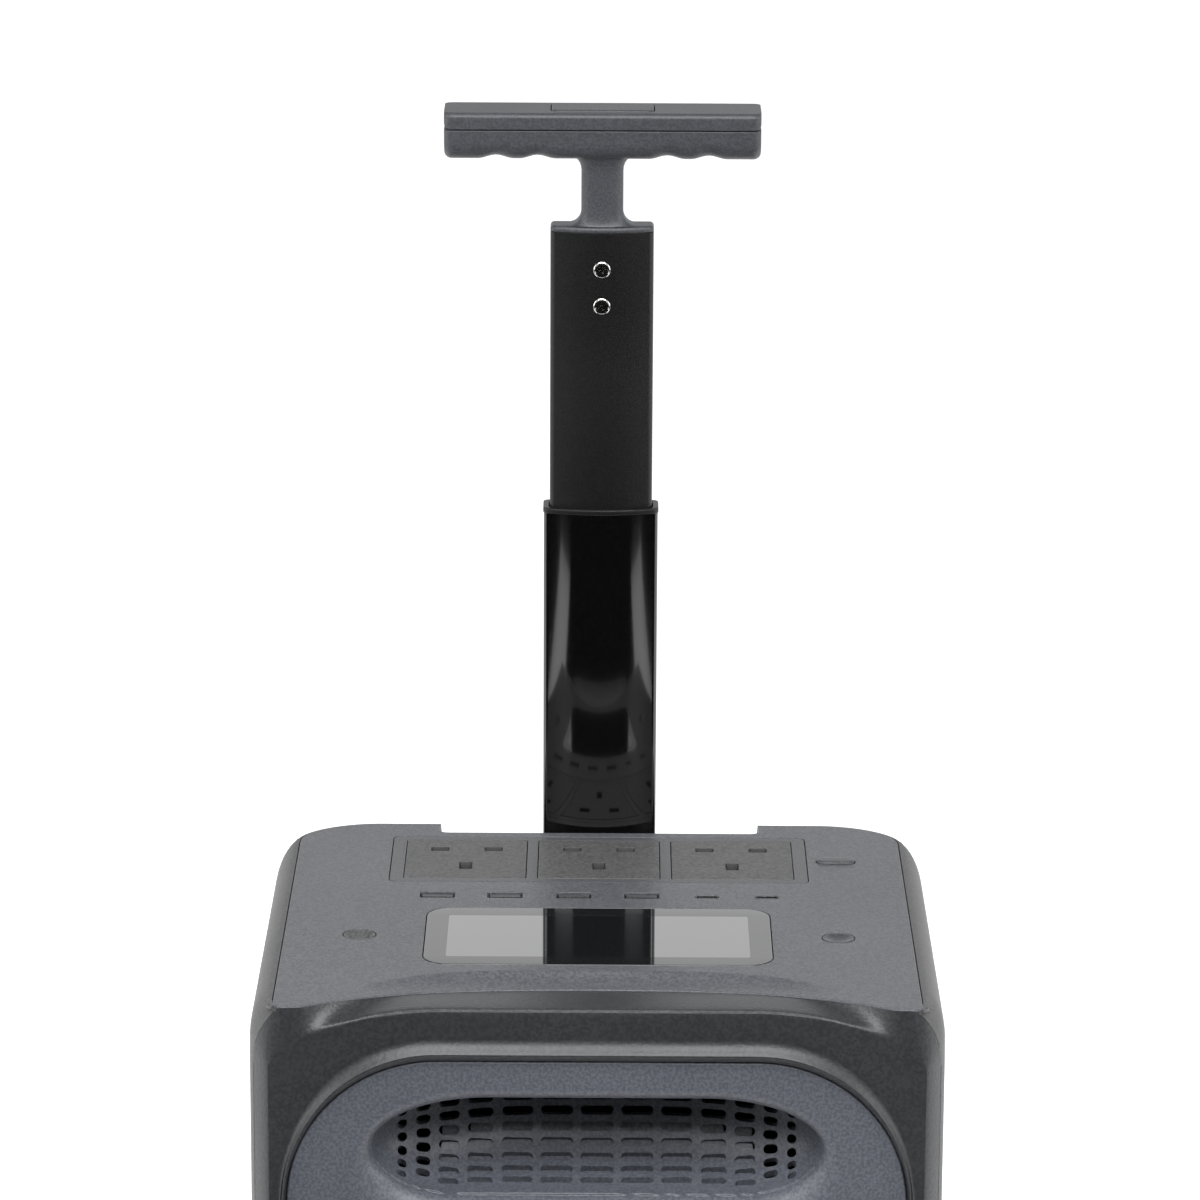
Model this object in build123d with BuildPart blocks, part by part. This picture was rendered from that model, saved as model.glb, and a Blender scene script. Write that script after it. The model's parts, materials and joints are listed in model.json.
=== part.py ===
"""Wheeled power station with a two-stage pull handle, built as separate pieces.

Frame: +Z up, origin on the floor under the middle of the bounding box.
-Y is the grille side, +Y the handle and wheel side, +X to the right seen from -Y.
"""
import os

from build123d import *

os.makedirs("parts", exist_ok=True)

# ---------------------------------------------------------------- driving sizes
HALF_W = 134.5            # half the body width
FRONT_Y = -130.0          # flat front face
REAR_Y = 120.0            # flat rear face
BODY_BOTTOM = 18.0        # underside of the case
PANEL_Z = 440.0           # flat top of the control panel
WALL = 3.0                # case wall
FRONT_EDGE_R = 16.0       # upright edges at the front
REAR_EDGE_R = 30.0        # upright edges at the rear
TOP_EDGE_R = 9.0          # round along the top edges
BOTTOM_EDGE_R = 8.0
GAP = 0.4                 # seam between neighbouring covers
SEAT_GAP = 0.2            # clearance round a seated insert
BORE_FIT = 0.05           # radial clearance of a turning or sliding fit
OVER = 1.0                # how far a cutting shape runs past the face it cuts

FRONT_SEAM_Y = -120.0     # front shell meets the side covers
REAR_SEAM_Y = 84.0        # side covers meet the rear shell
BASE_SEAM_Z = 60.0        # base tray meets the covers

BROW_L = 32.0             # depth of the front shell's top strip
BROW_SIDE_GAP = 0.6
BROW_H = 30.0
BEAD_W = 5.0              # raised bead round the grille insert
BEAD_H = 3.0

RING_OPENING_DEPTH = 15.0
WHEEL_OPENING_DEPTH = 38.0

PANEL_HALF_W = 125.0
PANEL_T = 4.0
PANEL_REAR_Y = 102.0      # shoulders beside the handle notch
PANEL_FRONT_CORNER_Y = -129.0
PANEL_FRONT_MID_Y = -107.5
NOTCH_HALF_W = 67.0
NOTCH_FRONT_Y = 90.8
NOTCH_DEPTH = 53.0
COVE_HALF_W = 90.0        # shallow finger scoop at the panel's front edge
COVE_R = 40.0
COVE_DEPTH = 3.0
COVE_LEAD = 14.0          # the scoop's middle line lies this far ahead of the panel edge

SOCKET_FRAME_W = 172.0
SOCKET_FRAME_L = 60.0
SOCKET_FRAME_Y = 55.0
SOCKET_FRAME_R = 3.0
SOCKET_FRAME_SINK = 0.2
SOCKET_PITCH = 55.0
SOCKET_SIZE = 50.0
SOCKET_FIT = 0.15
PIN_HALF_SPACING = 11.1
SOCKET_DEPTH = 22.0
PIN_DEPTH = 18.0
LIVE_SLOT_Y = 68.0
LIVE_SLOT_W = 7.0
LIVE_SLOT_L = 4.6
EARTH_SLOT_Y = 46.0
EARTH_SLOT_W = 4.8
EARTH_SLOT_L = 8.4

USB_A_X = (-65.5, -38.0, -10.0, 17.5)
USB_A_Y = 8.0
USB_A_W = 14.0
USB_A_H = 7.0
USB_C_X = (44.0, 68.4)
USB_C_Y = 6.6
USB_C_W = 9.6
USB_C_H = 4.6
USB_DEPTH = 12.0
USB_FIT = 0.1
USB_A_SHELL = 0.6
USB_A_TONGUE = (11.0, 1.8)
USB_A_TONGUE_SHIFT = 0.9
USB_C_SHELL = 0.5
USB_C_TONGUE = (6.6, 0.9)
USB_BACK_T = 2.0
USB_TONGUE_LENGTH = 10.0

GLASS_W = 138.0
GLASS_L = 69.5
GLASS_Y = -43.05
GLASS_R = 10.0
GLASS_T = 2.0
LCD_W = 120.0
LCD_L = 50.4
LCD_T = 5.0

PILL = (98.0, 53.5, 16.0, 7.4)       # x, y, length, width
ROUND_RIGHT = (95.5, -43.8, 12.8)    # x, y, diameter
ROUND_LEFT = (-95.0, -42.3, 12.9)
BUTTON_TRAVEL = 1.5
BUTTON_CLEAR = 0.35
BUTTON_H = 9.0
PILL_PROUD = 1.0
PILL_EDGE_R = 0.6
ROUND_PROUD = 0.2
STEM_R = 1.5
STEM_LENGTH = 3.0
DISH_DEPTH = 1.0
DISH_R = 22.0
SPRING_R = 4.2
SPRING_T = 0.8
SWITCH_SIZE = 4.0
SWITCH_H = 0.9
BOARD_TOP = PANEL_Z - BUTTON_H - STEM_LENGTH - BUTTON_TRAVEL - 1.3
BOARD_W = 216.0
BOARD_L = 110.0
BOARD_Y = -30.0
BOARD_T = 1.6
BOARD_TAB = (20.0, 60.0)
BOARD_TAB_SHIFT = 20.0

RING_HALF_W = 120.0
RING_TOP_Z = PANEL_Z - 21.7
RING_BOTTOM_Z = PANEL_Z - 138.7
RING_R = 58.4
POCKET_HALF_W = 88.0
POCKET_TOP_Z = PANEL_Z - 35.0
POCKET_BOTTOM_Z = PANEL_Z - 77.0
POCKET_R = 20.9
POCKET_DEPTH = 40.0
GRILLE_T = 3.0
SLOT_COLUMNS = 9
SLOT_ROWS = 4
SLOT_PITCH_X = 15.2
SLOT_PITCH_Z = 8.0
SLOT_L = 11.0
SLOT_W = 4.5

HANDLE_Y = 106.0          # middle of the telescopic tubes
GRIP_TOP_Z = PANEL_Z + 306.0
GRIP_W = 129.4
GRIP_D = 27.0
GRIP_H = 19.5
STEM_W = 17.3
STEM_D = 14.0
STEM_LEAD = 1.0           # the stem stands this far ahead of the tubes' middle
PLUG_TOP_Z = PANEL_Z + 258.0
INNER_TOP_Z = PANEL_Z + 255.7
INNER_W = 42.5
INNER_D = 11.4            # depth at the sides, before the bowed front
INNER_CROWN = 3.4
OUTER_W = 47.5
OUTER_D = 14.5
OUTER_CROWN = 4.0
TUBE_CORNER_R = 1.5
TUBE_WALL = 1.2
GUIDE_CLEAR = 0.6
GUIDE_WALL = 2.0
COLLAR_TOP_Z = PANEL_Z + 139.0
COLLAR_H = 1.0
COLLAR_PROUD = 0.2
OUTER_TUBE_LENGTH = 252.0
COLLAR_BORE = (INNER_W + 0.7, INNER_D + 0.5, INNER_CROWN)
INNER_TUBE_LENGTH = 166.0
GUIDE_BOTTOM_Z = 128.0
RELEASE_BUTTON = (42.0, 17.0)
RELEASE_TRAVEL = 4.0
RELEASE_CLEAR = 0.35
RELEASE_SINK = 0.3
RELEASE_R = 7.0
RELEASE_EDGE_R = 1.0
RELEASE_BOTTOM_GAP = 0.5
GRIP_PARTING_Z = GRIP_TOP_Z - 7.0
ROD_R = 2.0
ROD_CLEAR = 0.3
GRIP_R = 9.0
GRIP_BOTTOM_R = 5.0
GRIP_TOP_R = 4.0
STEM_CORNER_R = 5.0
PLUG_FIT = 0.2
LATCH_H = 22.0
PLUG_LENGTH = 45.0
GRIP_FRONT_GAP = 2.2
FINGER_GROOVES = (28.0, 46.0)
FINGER_R = 60.0
FINGER_DEPTH = 1.4
RELEASE_BUTTON_H = 6.0
PIN_R = 3.0
PIN_LENGTH = 12.0
PIN_RECESS = 0.6          # the pin's tip stays this far inside the tube wall
TUBE_SCREW_Z = (PANEL_Z + 240.4, PANEL_Z + 225.1)
TUBE_SCREW_HEAD_R = 3.5
TUBE_SCREW_HEAD_H = 0.6
TUBE_SCREW_R = 1.5
TUBE_SCREW_HOLE_R = 1.7
STEM_SCREW_HOLE_R = 1.6
TUBE_SCREW_LENGTH = 4.0

WHEEL_R = 48.0
WHEEL_W = 26.0
WHEEL_X = 116.0           # middle of each tyre
TYRE_EDGE_R = 5.0
HUB_INSET = 1.0
AXLE_Y = 85.0
AXLE_R = 5.0
AXLE_COLLAR_R = 8.0
AXLE_COLLAR_T = 2.0
AXLE_COLLAR_GAP = 0.4
WELL_CLEAR = 5.0
HUB_R = 30.0
HUB_HOLES = 5
HUB_HOLE_R = 6.5
HUB_HOLE_PCR = 19.0
HUB_HOLE_DEPTH = 8.0
HUB_BORE_END = 4.0        # the bore stops this far short of the tyre's outer face
WELL_INNER_X = 98.0
WELL_WALL = 2.5
WELL_AXLE_GAP = 0.3
AXLE_BLOCK_X = 88.0
AXLE_BLOCK_T = 12.0
AXLE_BLOCK_L = 30.0
FOOT_X = 105.0
FOOT_Y = -100.0
FOOT_R = 14.0
FOOT_BOTTOM_R = 12.0
FOOT_STUD_R = 3.0

FAN_SIZE = 80.0
FAN_T = 20.0
FAN_Y = -20.0
FAN_Z = 340.0
FAN_X = 118.0             # middle of each fan frame
FAN_BORE_R = 37.5
FAN_CORNER_R = 4.0
FAN_SCREW_R = 2.0
FAN_SCREW_INSET = 5.0
SPIDER_W = 4.0
SPIDER_T = 2.5
SPINDLE_R = 2.5
SPINDLE_LENGTH = 16.0
ROTOR_R = 36.5
ROTOR_HUB_R = 16.0
BLADES = 7
BLADE_T = 3.5
BLADE_TILT = 18.0
BLADE_DEPTH = 12.0
BLADE_START = 4.5
ROTOR_START = 3.2
ROTOR_LENGTH = 15.5
VENT_ROWS = 8
VENT_PITCH = 9.0
VENT_L = 80.0
VENT_W = 4.0

INLET_Z = 220.0
AC_INLET_OPENING = (-70.0, 48.4, 28.4)     # middle x, width, height
SOLAR_INLET_OPENING = (72.0, 36.4, 18.4)
INLET_DEPTH = 24.0
INLET_SINK = 0.2
INLET_CORNER_R = 2.0
INLET_RIM = (7.0, 5.0)    # rim beside and above the mouth
INLET_MOUTH_DEPTH = 17.0
INLET_PIN = (2.0, 4.0, 12.0)
INLET_PIN_PITCH = 8.0

BATTERY_Z = 66.0
BUSBAR_Y = 45.0
INVERTER_Z = 290.0
SCREW_X = 112.0
SCREW_ROWS_Z = (150.0, 370.0)
SCREW_R = 3.5
SCREW_HEAD_H = 1.2
AXLE_HALF_LENGTH = 124.0
BATTERY_Y = -47.0
CELL = (26.0, 140.0, 190.0)
CELL_COUNT = 8
CELL_PITCH = 27.0
BUSBAR = (41.0, 16.0, 2.0)
BUSBAR_LIFT = 2.0
CRADLE_WALL = 6.0
CRADLE_LIP = 30.0
CRADLE_FLOOR_T = 4.0
CRADLE_RIB_PITCH = 70.0
CRADLE_CELLAR = (60.0, 62.0)      # hollows under the cradle floor
STRAP_W = 24.0
STRAP_LOOP = (221.0, 155.0)
STRAP_OPENING = (217.0, 160.0)
STRAP_OPENING_DROP = 5.0
STRAP_LIFT = 20.0
BMS_BOARD = (150.0, 60.0, 1.6)
BMS_LIFT = 14.0

STAGE_Y = BATTERY_Y + 10.0        # middle of the power stage above the battery
INVERTER_BOARD = (180.0, 130.0, 2.0)
PART_LIFT = 0.2
SINK_BASE = (60.0, 110.0, 6.0)
SINK_X = -55.0
SINK_FINS = 8
SINK_FIN_T = 2.5
SINK_FIN_H = 30.0
SINK_FIN_PITCH = 7.7
SINK_FIN_FIRST_X = -82.0
TRANSFORMER = (46.0, 50.0, 34.0)
TRANSFORMER_X = 12.0
TRANSFORMER_Y = BATTERY_Y + 30.0
CAPACITOR_R = 11.0
CAPACITOR_H = 32.0
CAPACITOR_X = 62.0
CAPACITOR_PITCH = (28.0, 30.0)


def export(part, label):
    """Label a finished piece and write it to its own file."""
    part.label = label
    export_step(part, f"parts/{label}.step")


# ---------------------------------------------------------------- shared shapes
def rounded_block(inset, bottom, top):
    """The body's outer form, drawn in by inset on every side."""
    half_w = HALF_W - inset
    front = FRONT_Y + inset
    rear = REAR_Y - inset
    with BuildPart() as block:
        with BuildSketch(Plane.XY.offset(bottom)):
            with Locations((0, (front + rear) / 2)):
                Rectangle(2 * half_w, rear - front)
        extrude(amount=top - bottom)
        upright = block.edges().filter_by(Axis.Z).group_by(Axis.Y)
        fillet(upright[0], FRONT_EDGE_R - inset)
        fillet(upright[-1], REAR_EDGE_R - inset)
    return block.part


def case_shell():
    """The hollow case, open at the top for the control panel and at the front for the grille."""
    with BuildPart() as case:
        add(rounded_block(0, BODY_BOTTOM, PANEL_Z))
        fillet(case.faces().sort_by(Axis.Z)[-1].edges().group_by(Axis.Y)[1:], TOP_EDGE_R)
        fillet(case.faces().sort_by(Axis.Z)[0].edges(), BOTTOM_EDGE_R)
        add(rounded_block(WALL, BODY_BOTTOM + WALL, PANEL_Z - PANEL_T - WALL), mode=Mode.SUBTRACT)
        with BuildSketch(Plane.XY.offset(PANEL_Z + OVER)):
            add(panel_outline(GAP))
        extrude(amount=-(PANEL_T + WALL + 2 * OVER), mode=Mode.SUBTRACT)
        add(notch_block(), mode=Mode.SUBTRACT)
        with BuildSketch(Plane.XZ.offset(-FRONT_Y + OVER)):
            add(ring_outline(GAP))
        extrude(amount=-RING_OPENING_DEPTH, mode=Mode.SUBTRACT)
        for side in (-1, 1):
            with BuildSketch(Plane.YZ.offset(side * (HALF_W + OVER))):
                with Locations((AXLE_Y, WHEEL_R)):
                    Circle(WHEEL_R + WELL_CLEAR)
            extrude(amount=-side * WHEEL_OPENING_DEPTH, mode=Mode.SUBTRACT)
    return case.part


def panel_outline(grow):
    """Plan outline of the control panel, with its handle notch and bowed front edge."""
    half_w = PANEL_HALF_W + grow
    with BuildSketch() as outline:
        with BuildLine():
            Polyline(
                (-half_w, PANEL_FRONT_CORNER_Y - grow),
                (-half_w, PANEL_REAR_Y + grow),
                (-NOTCH_HALF_W, PANEL_REAR_Y + grow),
                (-NOTCH_HALF_W, NOTCH_FRONT_Y + grow),
                (NOTCH_HALF_W, NOTCH_FRONT_Y + grow),
                (NOTCH_HALF_W, PANEL_REAR_Y + grow),
                (half_w, PANEL_REAR_Y + grow),
                (half_w, PANEL_FRONT_CORNER_Y - grow),
            )
            ThreePointArc(
                (half_w, PANEL_FRONT_CORNER_Y - grow),
                (0, PANEL_FRONT_MID_Y - grow),
                (-half_w, PANEL_FRONT_CORNER_Y - grow),
            )
        make_face()
    return outline.sketch


def ring_outline(grow):
    """Front outline of the grille insert, seen along Y."""
    with BuildSketch() as outline:
        with Locations((0, (RING_TOP_Z + RING_BOTTOM_Z) / 2)):
            RectangleRounded(2 * (RING_HALF_W + grow), RING_TOP_Z - RING_BOTTOM_Z + 2 * grow, RING_R + grow)
    return outline.sketch


def tube_section(width, side_depth, crown):
    """Section of a handle tube: flat back and sides, bowed front, rounded corners."""
    half_w = width / 2
    half_d = side_depth / 2
    with BuildSketch() as section:
        with BuildLine():
            Polyline((half_w, -half_d), (half_w, half_d), (-half_w, half_d), (-half_w, -half_d))
            ThreePointArc((-half_w, -half_d), (0, -half_d - crown), (half_w, -half_d))
        make_face()
        fillet(section.vertices(), TUBE_CORNER_R)
    return section.sketch


def slab(width, length, height, x, y, top):
    """A plain block hung from its top face."""
    with BuildPart() as block:
        with BuildSketch(Plane.XY.offset(top)):
            with Locations((x, y)):
                Rectangle(width, length)
        extrude(amount=-height)
    return block.part


def notch_block():
    """Space of the handle notch, run out past the rear wall and the top."""
    length = REAR_Y + 10 * OVER - NOTCH_FRONT_Y
    return slab(2 * NOTCH_HALF_W, length, NOTCH_DEPTH + OVER, 0, NOTCH_FRONT_Y + length / 2, PANEL_Z + OVER)


# ---------------------------------------------------------------- case
def make_base_tray(case):
    with BuildPart() as base_tray:
        add(case)
        split(bisect_by=Plane.XY.offset(BASE_SEAM_Z - GAP / 2), keep=Keep.BOTTOM)
        for side in (-1, 1):
            add(axle_block(side))
            with BuildSketch(Plane.YZ.offset(side * (HALF_W + OVER))):
                with Locations((AXLE_Y, WHEEL_R)):
                    Circle(AXLE_R + BORE_FIT)
            extrude(amount=-side * (HALF_W + OVER), mode=Mode.SUBTRACT)
        with Locations((0, FOOT_Y, BODY_BOTTOM)):
            with GridLocations(2 * FOOT_X, 1, 2, 1):
                Cylinder(FOOT_STUD_R + 2 * BORE_FIT, 2 * WALL + OVER, mode=Mode.SUBTRACT)
    export(base_tray.part, "base_tray")


def axle_block(side):
    """Bearing block for the axle, standing on the floor of the base tray."""
    with BuildPart() as block:
        with BuildSketch(Plane.XY.offset(BODY_BOTTOM + WALL - 0.5)):
            with Locations((side * AXLE_BLOCK_X, AXLE_Y)):
                Rectangle(AXLE_BLOCK_T, AXLE_BLOCK_L)
        extrude(amount=BASE_SEAM_Z - BODY_BOTTOM - WALL)
    return block.part


def make_front_shell(case):
    with BuildPart() as front_shell:
        add(case)
        split(bisect_by=Plane.XY.offset(BASE_SEAM_Z + GAP / 2), keep=Keep.TOP)
        split(bisect_by=Plane.XZ.offset(-FRONT_SEAM_Y + GAP / 2), keep=Keep.TOP)
        add(brow(case, 0))
        with BuildSketch(Plane.XZ.offset(-FRONT_Y - 0.5)):
            add(ring_outline(BEAD_W))
            add(ring_outline(GAP), mode=Mode.SUBTRACT)
        extrude(amount=BEAD_H + 0.5)
    export(front_shell.part, "front_shell")


def brow(case, grow):
    """Top strip of the case between the panel's bowed front edge and the front face."""
    with BuildPart() as strip:
        add(case)
        add(slab(2 * (PANEL_HALF_W + BROW_SIDE_GAP + grow), BROW_L + grow, BROW_H, 0,
                 FRONT_Y + (BROW_L + grow) / 2, PANEL_Z + OVER), mode=Mode.INTERSECT)
    return strip.part


def make_side_covers(case):
    for side, label in ((-1, "side_cover_left"), (1, "side_cover_right")):
        with BuildPart() as side_cover:
            add(case)
            split(bisect_by=Plane.XY.offset(BASE_SEAM_Z + GAP / 2), keep=Keep.TOP)
            split(bisect_by=Plane.XZ.offset(-FRONT_SEAM_Y - GAP / 2), keep=Keep.BOTTOM)
            split(bisect_by=Plane.XZ.offset(-REAR_SEAM_Y + GAP / 2), keep=Keep.TOP)
            split(bisect_by=Plane.YZ, keep=Keep.TOP if side > 0 else Keep.BOTTOM)
            add(brow(case, GAP), mode=Mode.SUBTRACT)
            for row in range(VENT_ROWS):
                height = FAN_Z - (row - (VENT_ROWS - 1) / 2) * VENT_PITCH
                with BuildSketch(Plane.YZ.offset(side * (HALF_W + OVER))):
                    with Locations((FAN_Y, height)):
                        SlotOverall(VENT_L, VENT_W)
                extrude(amount=-side * (WALL + 2 * OVER), mode=Mode.SUBTRACT)
        export(side_cover.part, label)


def make_rear_shell(case):
    pocket_floor = PANEL_Z - NOTCH_DEPTH
    with BuildPart() as rear_shell:
        add(case)
        split(bisect_by=Plane.XY.offset(BASE_SEAM_Z + GAP / 2), keep=Keep.TOP)
        split(bisect_by=Plane.XZ.offset(-REAR_SEAM_Y - GAP / 2), keep=Keep.BOTTOM)
        wall_length = REAR_Y - WALL / 2 - NOTCH_FRONT_Y + WALL
        add(slab(2 * (NOTCH_HALF_W + WALL), wall_length, NOTCH_DEPTH + WALL - PANEL_T - GAP, 0,
                 NOTCH_FRONT_Y - WALL + wall_length / 2, PANEL_Z - PANEL_T - GAP))
        add(notch_block(), mode=Mode.SUBTRACT)
        with BuildSketch(Plane.XY.offset(pocket_floor + OVER)):
            with Locations((0, HANDLE_Y)):
                add(tube_section(OUTER_W + 2 * GUIDE_CLEAR, OUTER_D + 2 * GUIDE_CLEAR, OUTER_CROWN))
        extrude(amount=-(WALL + 2 * OVER), mode=Mode.SUBTRACT)
        for centre_x, width, height in (AC_INLET_OPENING, SOLAR_INLET_OPENING):
            with BuildSketch(Plane.XZ.offset(-REAR_Y - OVER)):
                with Locations((centre_x, INLET_Z)):
                    RectangleRounded(width, height, INLET_CORNER_R)
            extrude(amount=WALL + 2 * OVER, mode=Mode.SUBTRACT)
    export(rear_shell.part, "rear_shell")


def make_top_panel():
    with BuildPart() as top_panel:
        with BuildSketch(Plane.XY.offset(PANEL_Z)):
            add(panel_outline(0))
            with Locations((0, SOCKET_FRAME_Y)):
                RectangleRounded(SOCKET_FRAME_W + 2 * SEAT_GAP, SOCKET_FRAME_L + 2 * SEAT_GAP, SOCKET_FRAME_R,
                                 mode=Mode.SUBTRACT)
            with Locations((0, GLASS_Y)):
                RectangleRounded(GLASS_W + 2 * SEAT_GAP, GLASS_L + 2 * SEAT_GAP, GLASS_R, mode=Mode.SUBTRACT)
            with Locations([(x, USB_A_Y) for x in USB_A_X]):
                Rectangle(USB_A_W + 2 * USB_FIT, USB_A_H + 2 * USB_FIT, mode=Mode.SUBTRACT)
            with Locations([(x, USB_C_Y) for x in USB_C_X]):
                SlotOverall(USB_C_W + 2 * USB_FIT, USB_C_H + 2 * USB_FIT, mode=Mode.SUBTRACT)
            with Locations(PILL[:2]):
                SlotOverall(PILL[2] + 2 * BUTTON_CLEAR, PILL[3] + 2 * BUTTON_CLEAR, mode=Mode.SUBTRACT)
            for x, y, diameter in (ROUND_LEFT, ROUND_RIGHT):
                with Locations((x, y)):
                    Circle(diameter / 2 + BUTTON_CLEAR, mode=Mode.SUBTRACT)
        extrude(amount=-PANEL_T)
        with BuildSketch(Plane.YZ.offset(-COVE_HALF_W)):
            with Locations((PANEL_FRONT_MID_Y - COVE_LEAD, PANEL_Z + COVE_R - COVE_DEPTH)):
                Circle(COVE_R)
        extrude(amount=2 * COVE_HALF_W, mode=Mode.SUBTRACT)
    export(top_panel.part, "top_panel")


# ---------------------------------------------------------------- front grille and carry grip
def make_front_grille():
    """Ring insert with a carry pocket, whose curved back wall is perforated for air."""
    middle_z = (POCKET_TOP_Z + POCKET_BOTTOM_Z) / 2
    pocket_h = POCKET_TOP_Z - POCKET_BOTTOM_Z
    with BuildPart() as front_grille:
        with BuildSketch(Plane.XZ.offset(-FRONT_Y)):
            add(ring_outline(0))
        extrude(amount=-WALL)
        with BuildSketch(Plane.XZ.offset(-FRONT_Y - WALL)):
            with Locations((0, middle_z)):
                RectangleRounded(2 * (POCKET_HALF_W + GRILLE_T), pocket_h + 2 * GRILLE_T, POCKET_R + GRILLE_T)
        extrude(amount=-(POCKET_DEPTH - WALL))
        with BuildSketch(Plane.XZ.offset(-FRONT_Y + OVER)):
            with Locations((0, middle_z)):
                RectangleRounded(2 * POCKET_HALF_W, pocket_h, POCKET_R)
        extrude(amount=-(POCKET_DEPTH - GRILLE_T + OVER), mode=Mode.SUBTRACT)
        with BuildSketch(Plane.XZ.offset(-FRONT_Y - POCKET_DEPTH + GRILLE_T + OVER)):
            with Locations((0, middle_z)):
                with GridLocations(SLOT_PITCH_X, SLOT_PITCH_Z, SLOT_COLUMNS, SLOT_ROWS):
                    SlotOverall(SLOT_L, SLOT_W)
        extrude(amount=-(GRILLE_T + 2 * OVER), mode=Mode.SUBTRACT)
    export(front_grille.part, "front_grille")


# ---------------------------------------------------------------- sockets, ports, display
def make_socket_frame():
    with BuildPart() as socket_frame:
        with BuildSketch(Plane.XY.offset(PANEL_Z - SOCKET_FRAME_SINK)):
            with Locations((0, SOCKET_FRAME_Y)):
                RectangleRounded(SOCKET_FRAME_W, SOCKET_FRAME_L, SOCKET_FRAME_R)
            with Locations((0, SOCKET_FRAME_Y)):
                with GridLocations(SOCKET_PITCH, 1, 3, 1):
                    Rectangle(SOCKET_SIZE + 2 * SOCKET_FIT, SOCKET_SIZE + 2 * SOCKET_FIT, mode=Mode.SUBTRACT)
        extrude(amount=-PANEL_T)
    export(socket_frame.part, "socket_frame")


def make_ac_sockets():
    for index, label in ((-1, "ac_socket_left"), (0, "ac_socket_middle"), (1, "ac_socket_right")):
        with BuildPart() as ac_socket:
            with BuildSketch(Plane.XY.offset(PANEL_Z)):
                with Locations((index * SOCKET_PITCH, SOCKET_FRAME_Y)):
                    RectangleRounded(SOCKET_SIZE, SOCKET_SIZE, 1)
            extrude(amount=-SOCKET_DEPTH)
            with BuildSketch(Plane.XY.offset(PANEL_Z + OVER)):
                for side in (-1, 1):
                    with Locations((index * SOCKET_PITCH + side * PIN_HALF_SPACING, LIVE_SLOT_Y)):
                        Rectangle(LIVE_SLOT_W, LIVE_SLOT_L)
                with Locations((index * SOCKET_PITCH, EARTH_SLOT_Y)):
                    Rectangle(EARTH_SLOT_W, EARTH_SLOT_L)
            extrude(amount=-(PIN_DEPTH + OVER), mode=Mode.SUBTRACT)
        export(ac_socket.part, label)


def make_usb_ports():
    with BuildPart() as usb_a_ports:
        with BuildSketch(Plane.XY.offset(PANEL_Z - USB_FIT)):
            with Locations([(x, USB_A_Y) for x in USB_A_X]):
                Rectangle(USB_A_W, USB_A_H)
                Rectangle(USB_A_W - 2 * USB_A_SHELL, USB_A_H - 2 * USB_A_SHELL, mode=Mode.SUBTRACT)
        extrude(amount=-USB_DEPTH)
        with BuildSketch(Plane.XY.offset(PANEL_Z - USB_DEPTH)):
            with Locations([(x, USB_A_Y) for x in USB_A_X]):
                Rectangle(USB_A_W, USB_A_H)
        extrude(amount=-USB_BACK_T)
        with BuildSketch(Plane.XY.offset(PANEL_Z - USB_DEPTH - USB_BACK_T / 4)):
            with Locations([(x, USB_A_Y + USB_A_TONGUE_SHIFT) for x in USB_A_X]):
                Rectangle(*USB_A_TONGUE)
        extrude(amount=USB_TONGUE_LENGTH)
    export(usb_a_ports.part, "usb_a_ports")
    with BuildPart() as usb_c_ports:
        with BuildSketch(Plane.XY.offset(PANEL_Z - USB_FIT)):
            with Locations([(x, USB_C_Y) for x in USB_C_X]):
                SlotOverall(USB_C_W, USB_C_H)
                SlotOverall(USB_C_W - 2 * USB_C_SHELL, USB_C_H - 2 * USB_C_SHELL, mode=Mode.SUBTRACT)
        extrude(amount=-USB_DEPTH)
        with BuildSketch(Plane.XY.offset(PANEL_Z - USB_DEPTH)):
            with Locations([(x, USB_C_Y) for x in USB_C_X]):
                SlotOverall(USB_C_W, USB_C_H)
        extrude(amount=-USB_BACK_T)
        with BuildSketch(Plane.XY.offset(PANEL_Z - USB_DEPTH - USB_BACK_T / 4)):
            with Locations([(x, USB_C_Y) for x in USB_C_X]):
                Rectangle(*USB_C_TONGUE)
        extrude(amount=USB_TONGUE_LENGTH)
    export(usb_c_ports.part, "usb_c_ports")


def make_display():
    with BuildPart() as display_glass:
        with BuildSketch(Plane.XY.offset(PANEL_Z)):
            with Locations((0, GLASS_Y)):
                RectangleRounded(GLASS_W, GLASS_L, GLASS_R)
        extrude(amount=-GLASS_T)
    export(display_glass.part, "display_glass")
    with BuildPart() as lcd_module:
        with BuildSketch(Plane.XY.offset(PANEL_Z - GLASS_T)):
            with Locations((0, GLASS_Y)):
                Rectangle(LCD_W, LCD_L)
        extrude(amount=-LCD_T)
    export(lcd_module.part, "lcd_module")


def finish_button(button, x, y, label):
    """Add the stem that reaches the switch below."""
    with BuildPart() as whole:
        add(button)
        with BuildSketch(Plane.XY.offset(PANEL_Z - BUTTON_H + STEM_R / 3)):
            with Locations((x, y)):
                Circle(STEM_R)
        extrude(amount=-(STEM_LENGTH + STEM_R / 3))
    export(whole.part, label)


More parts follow.
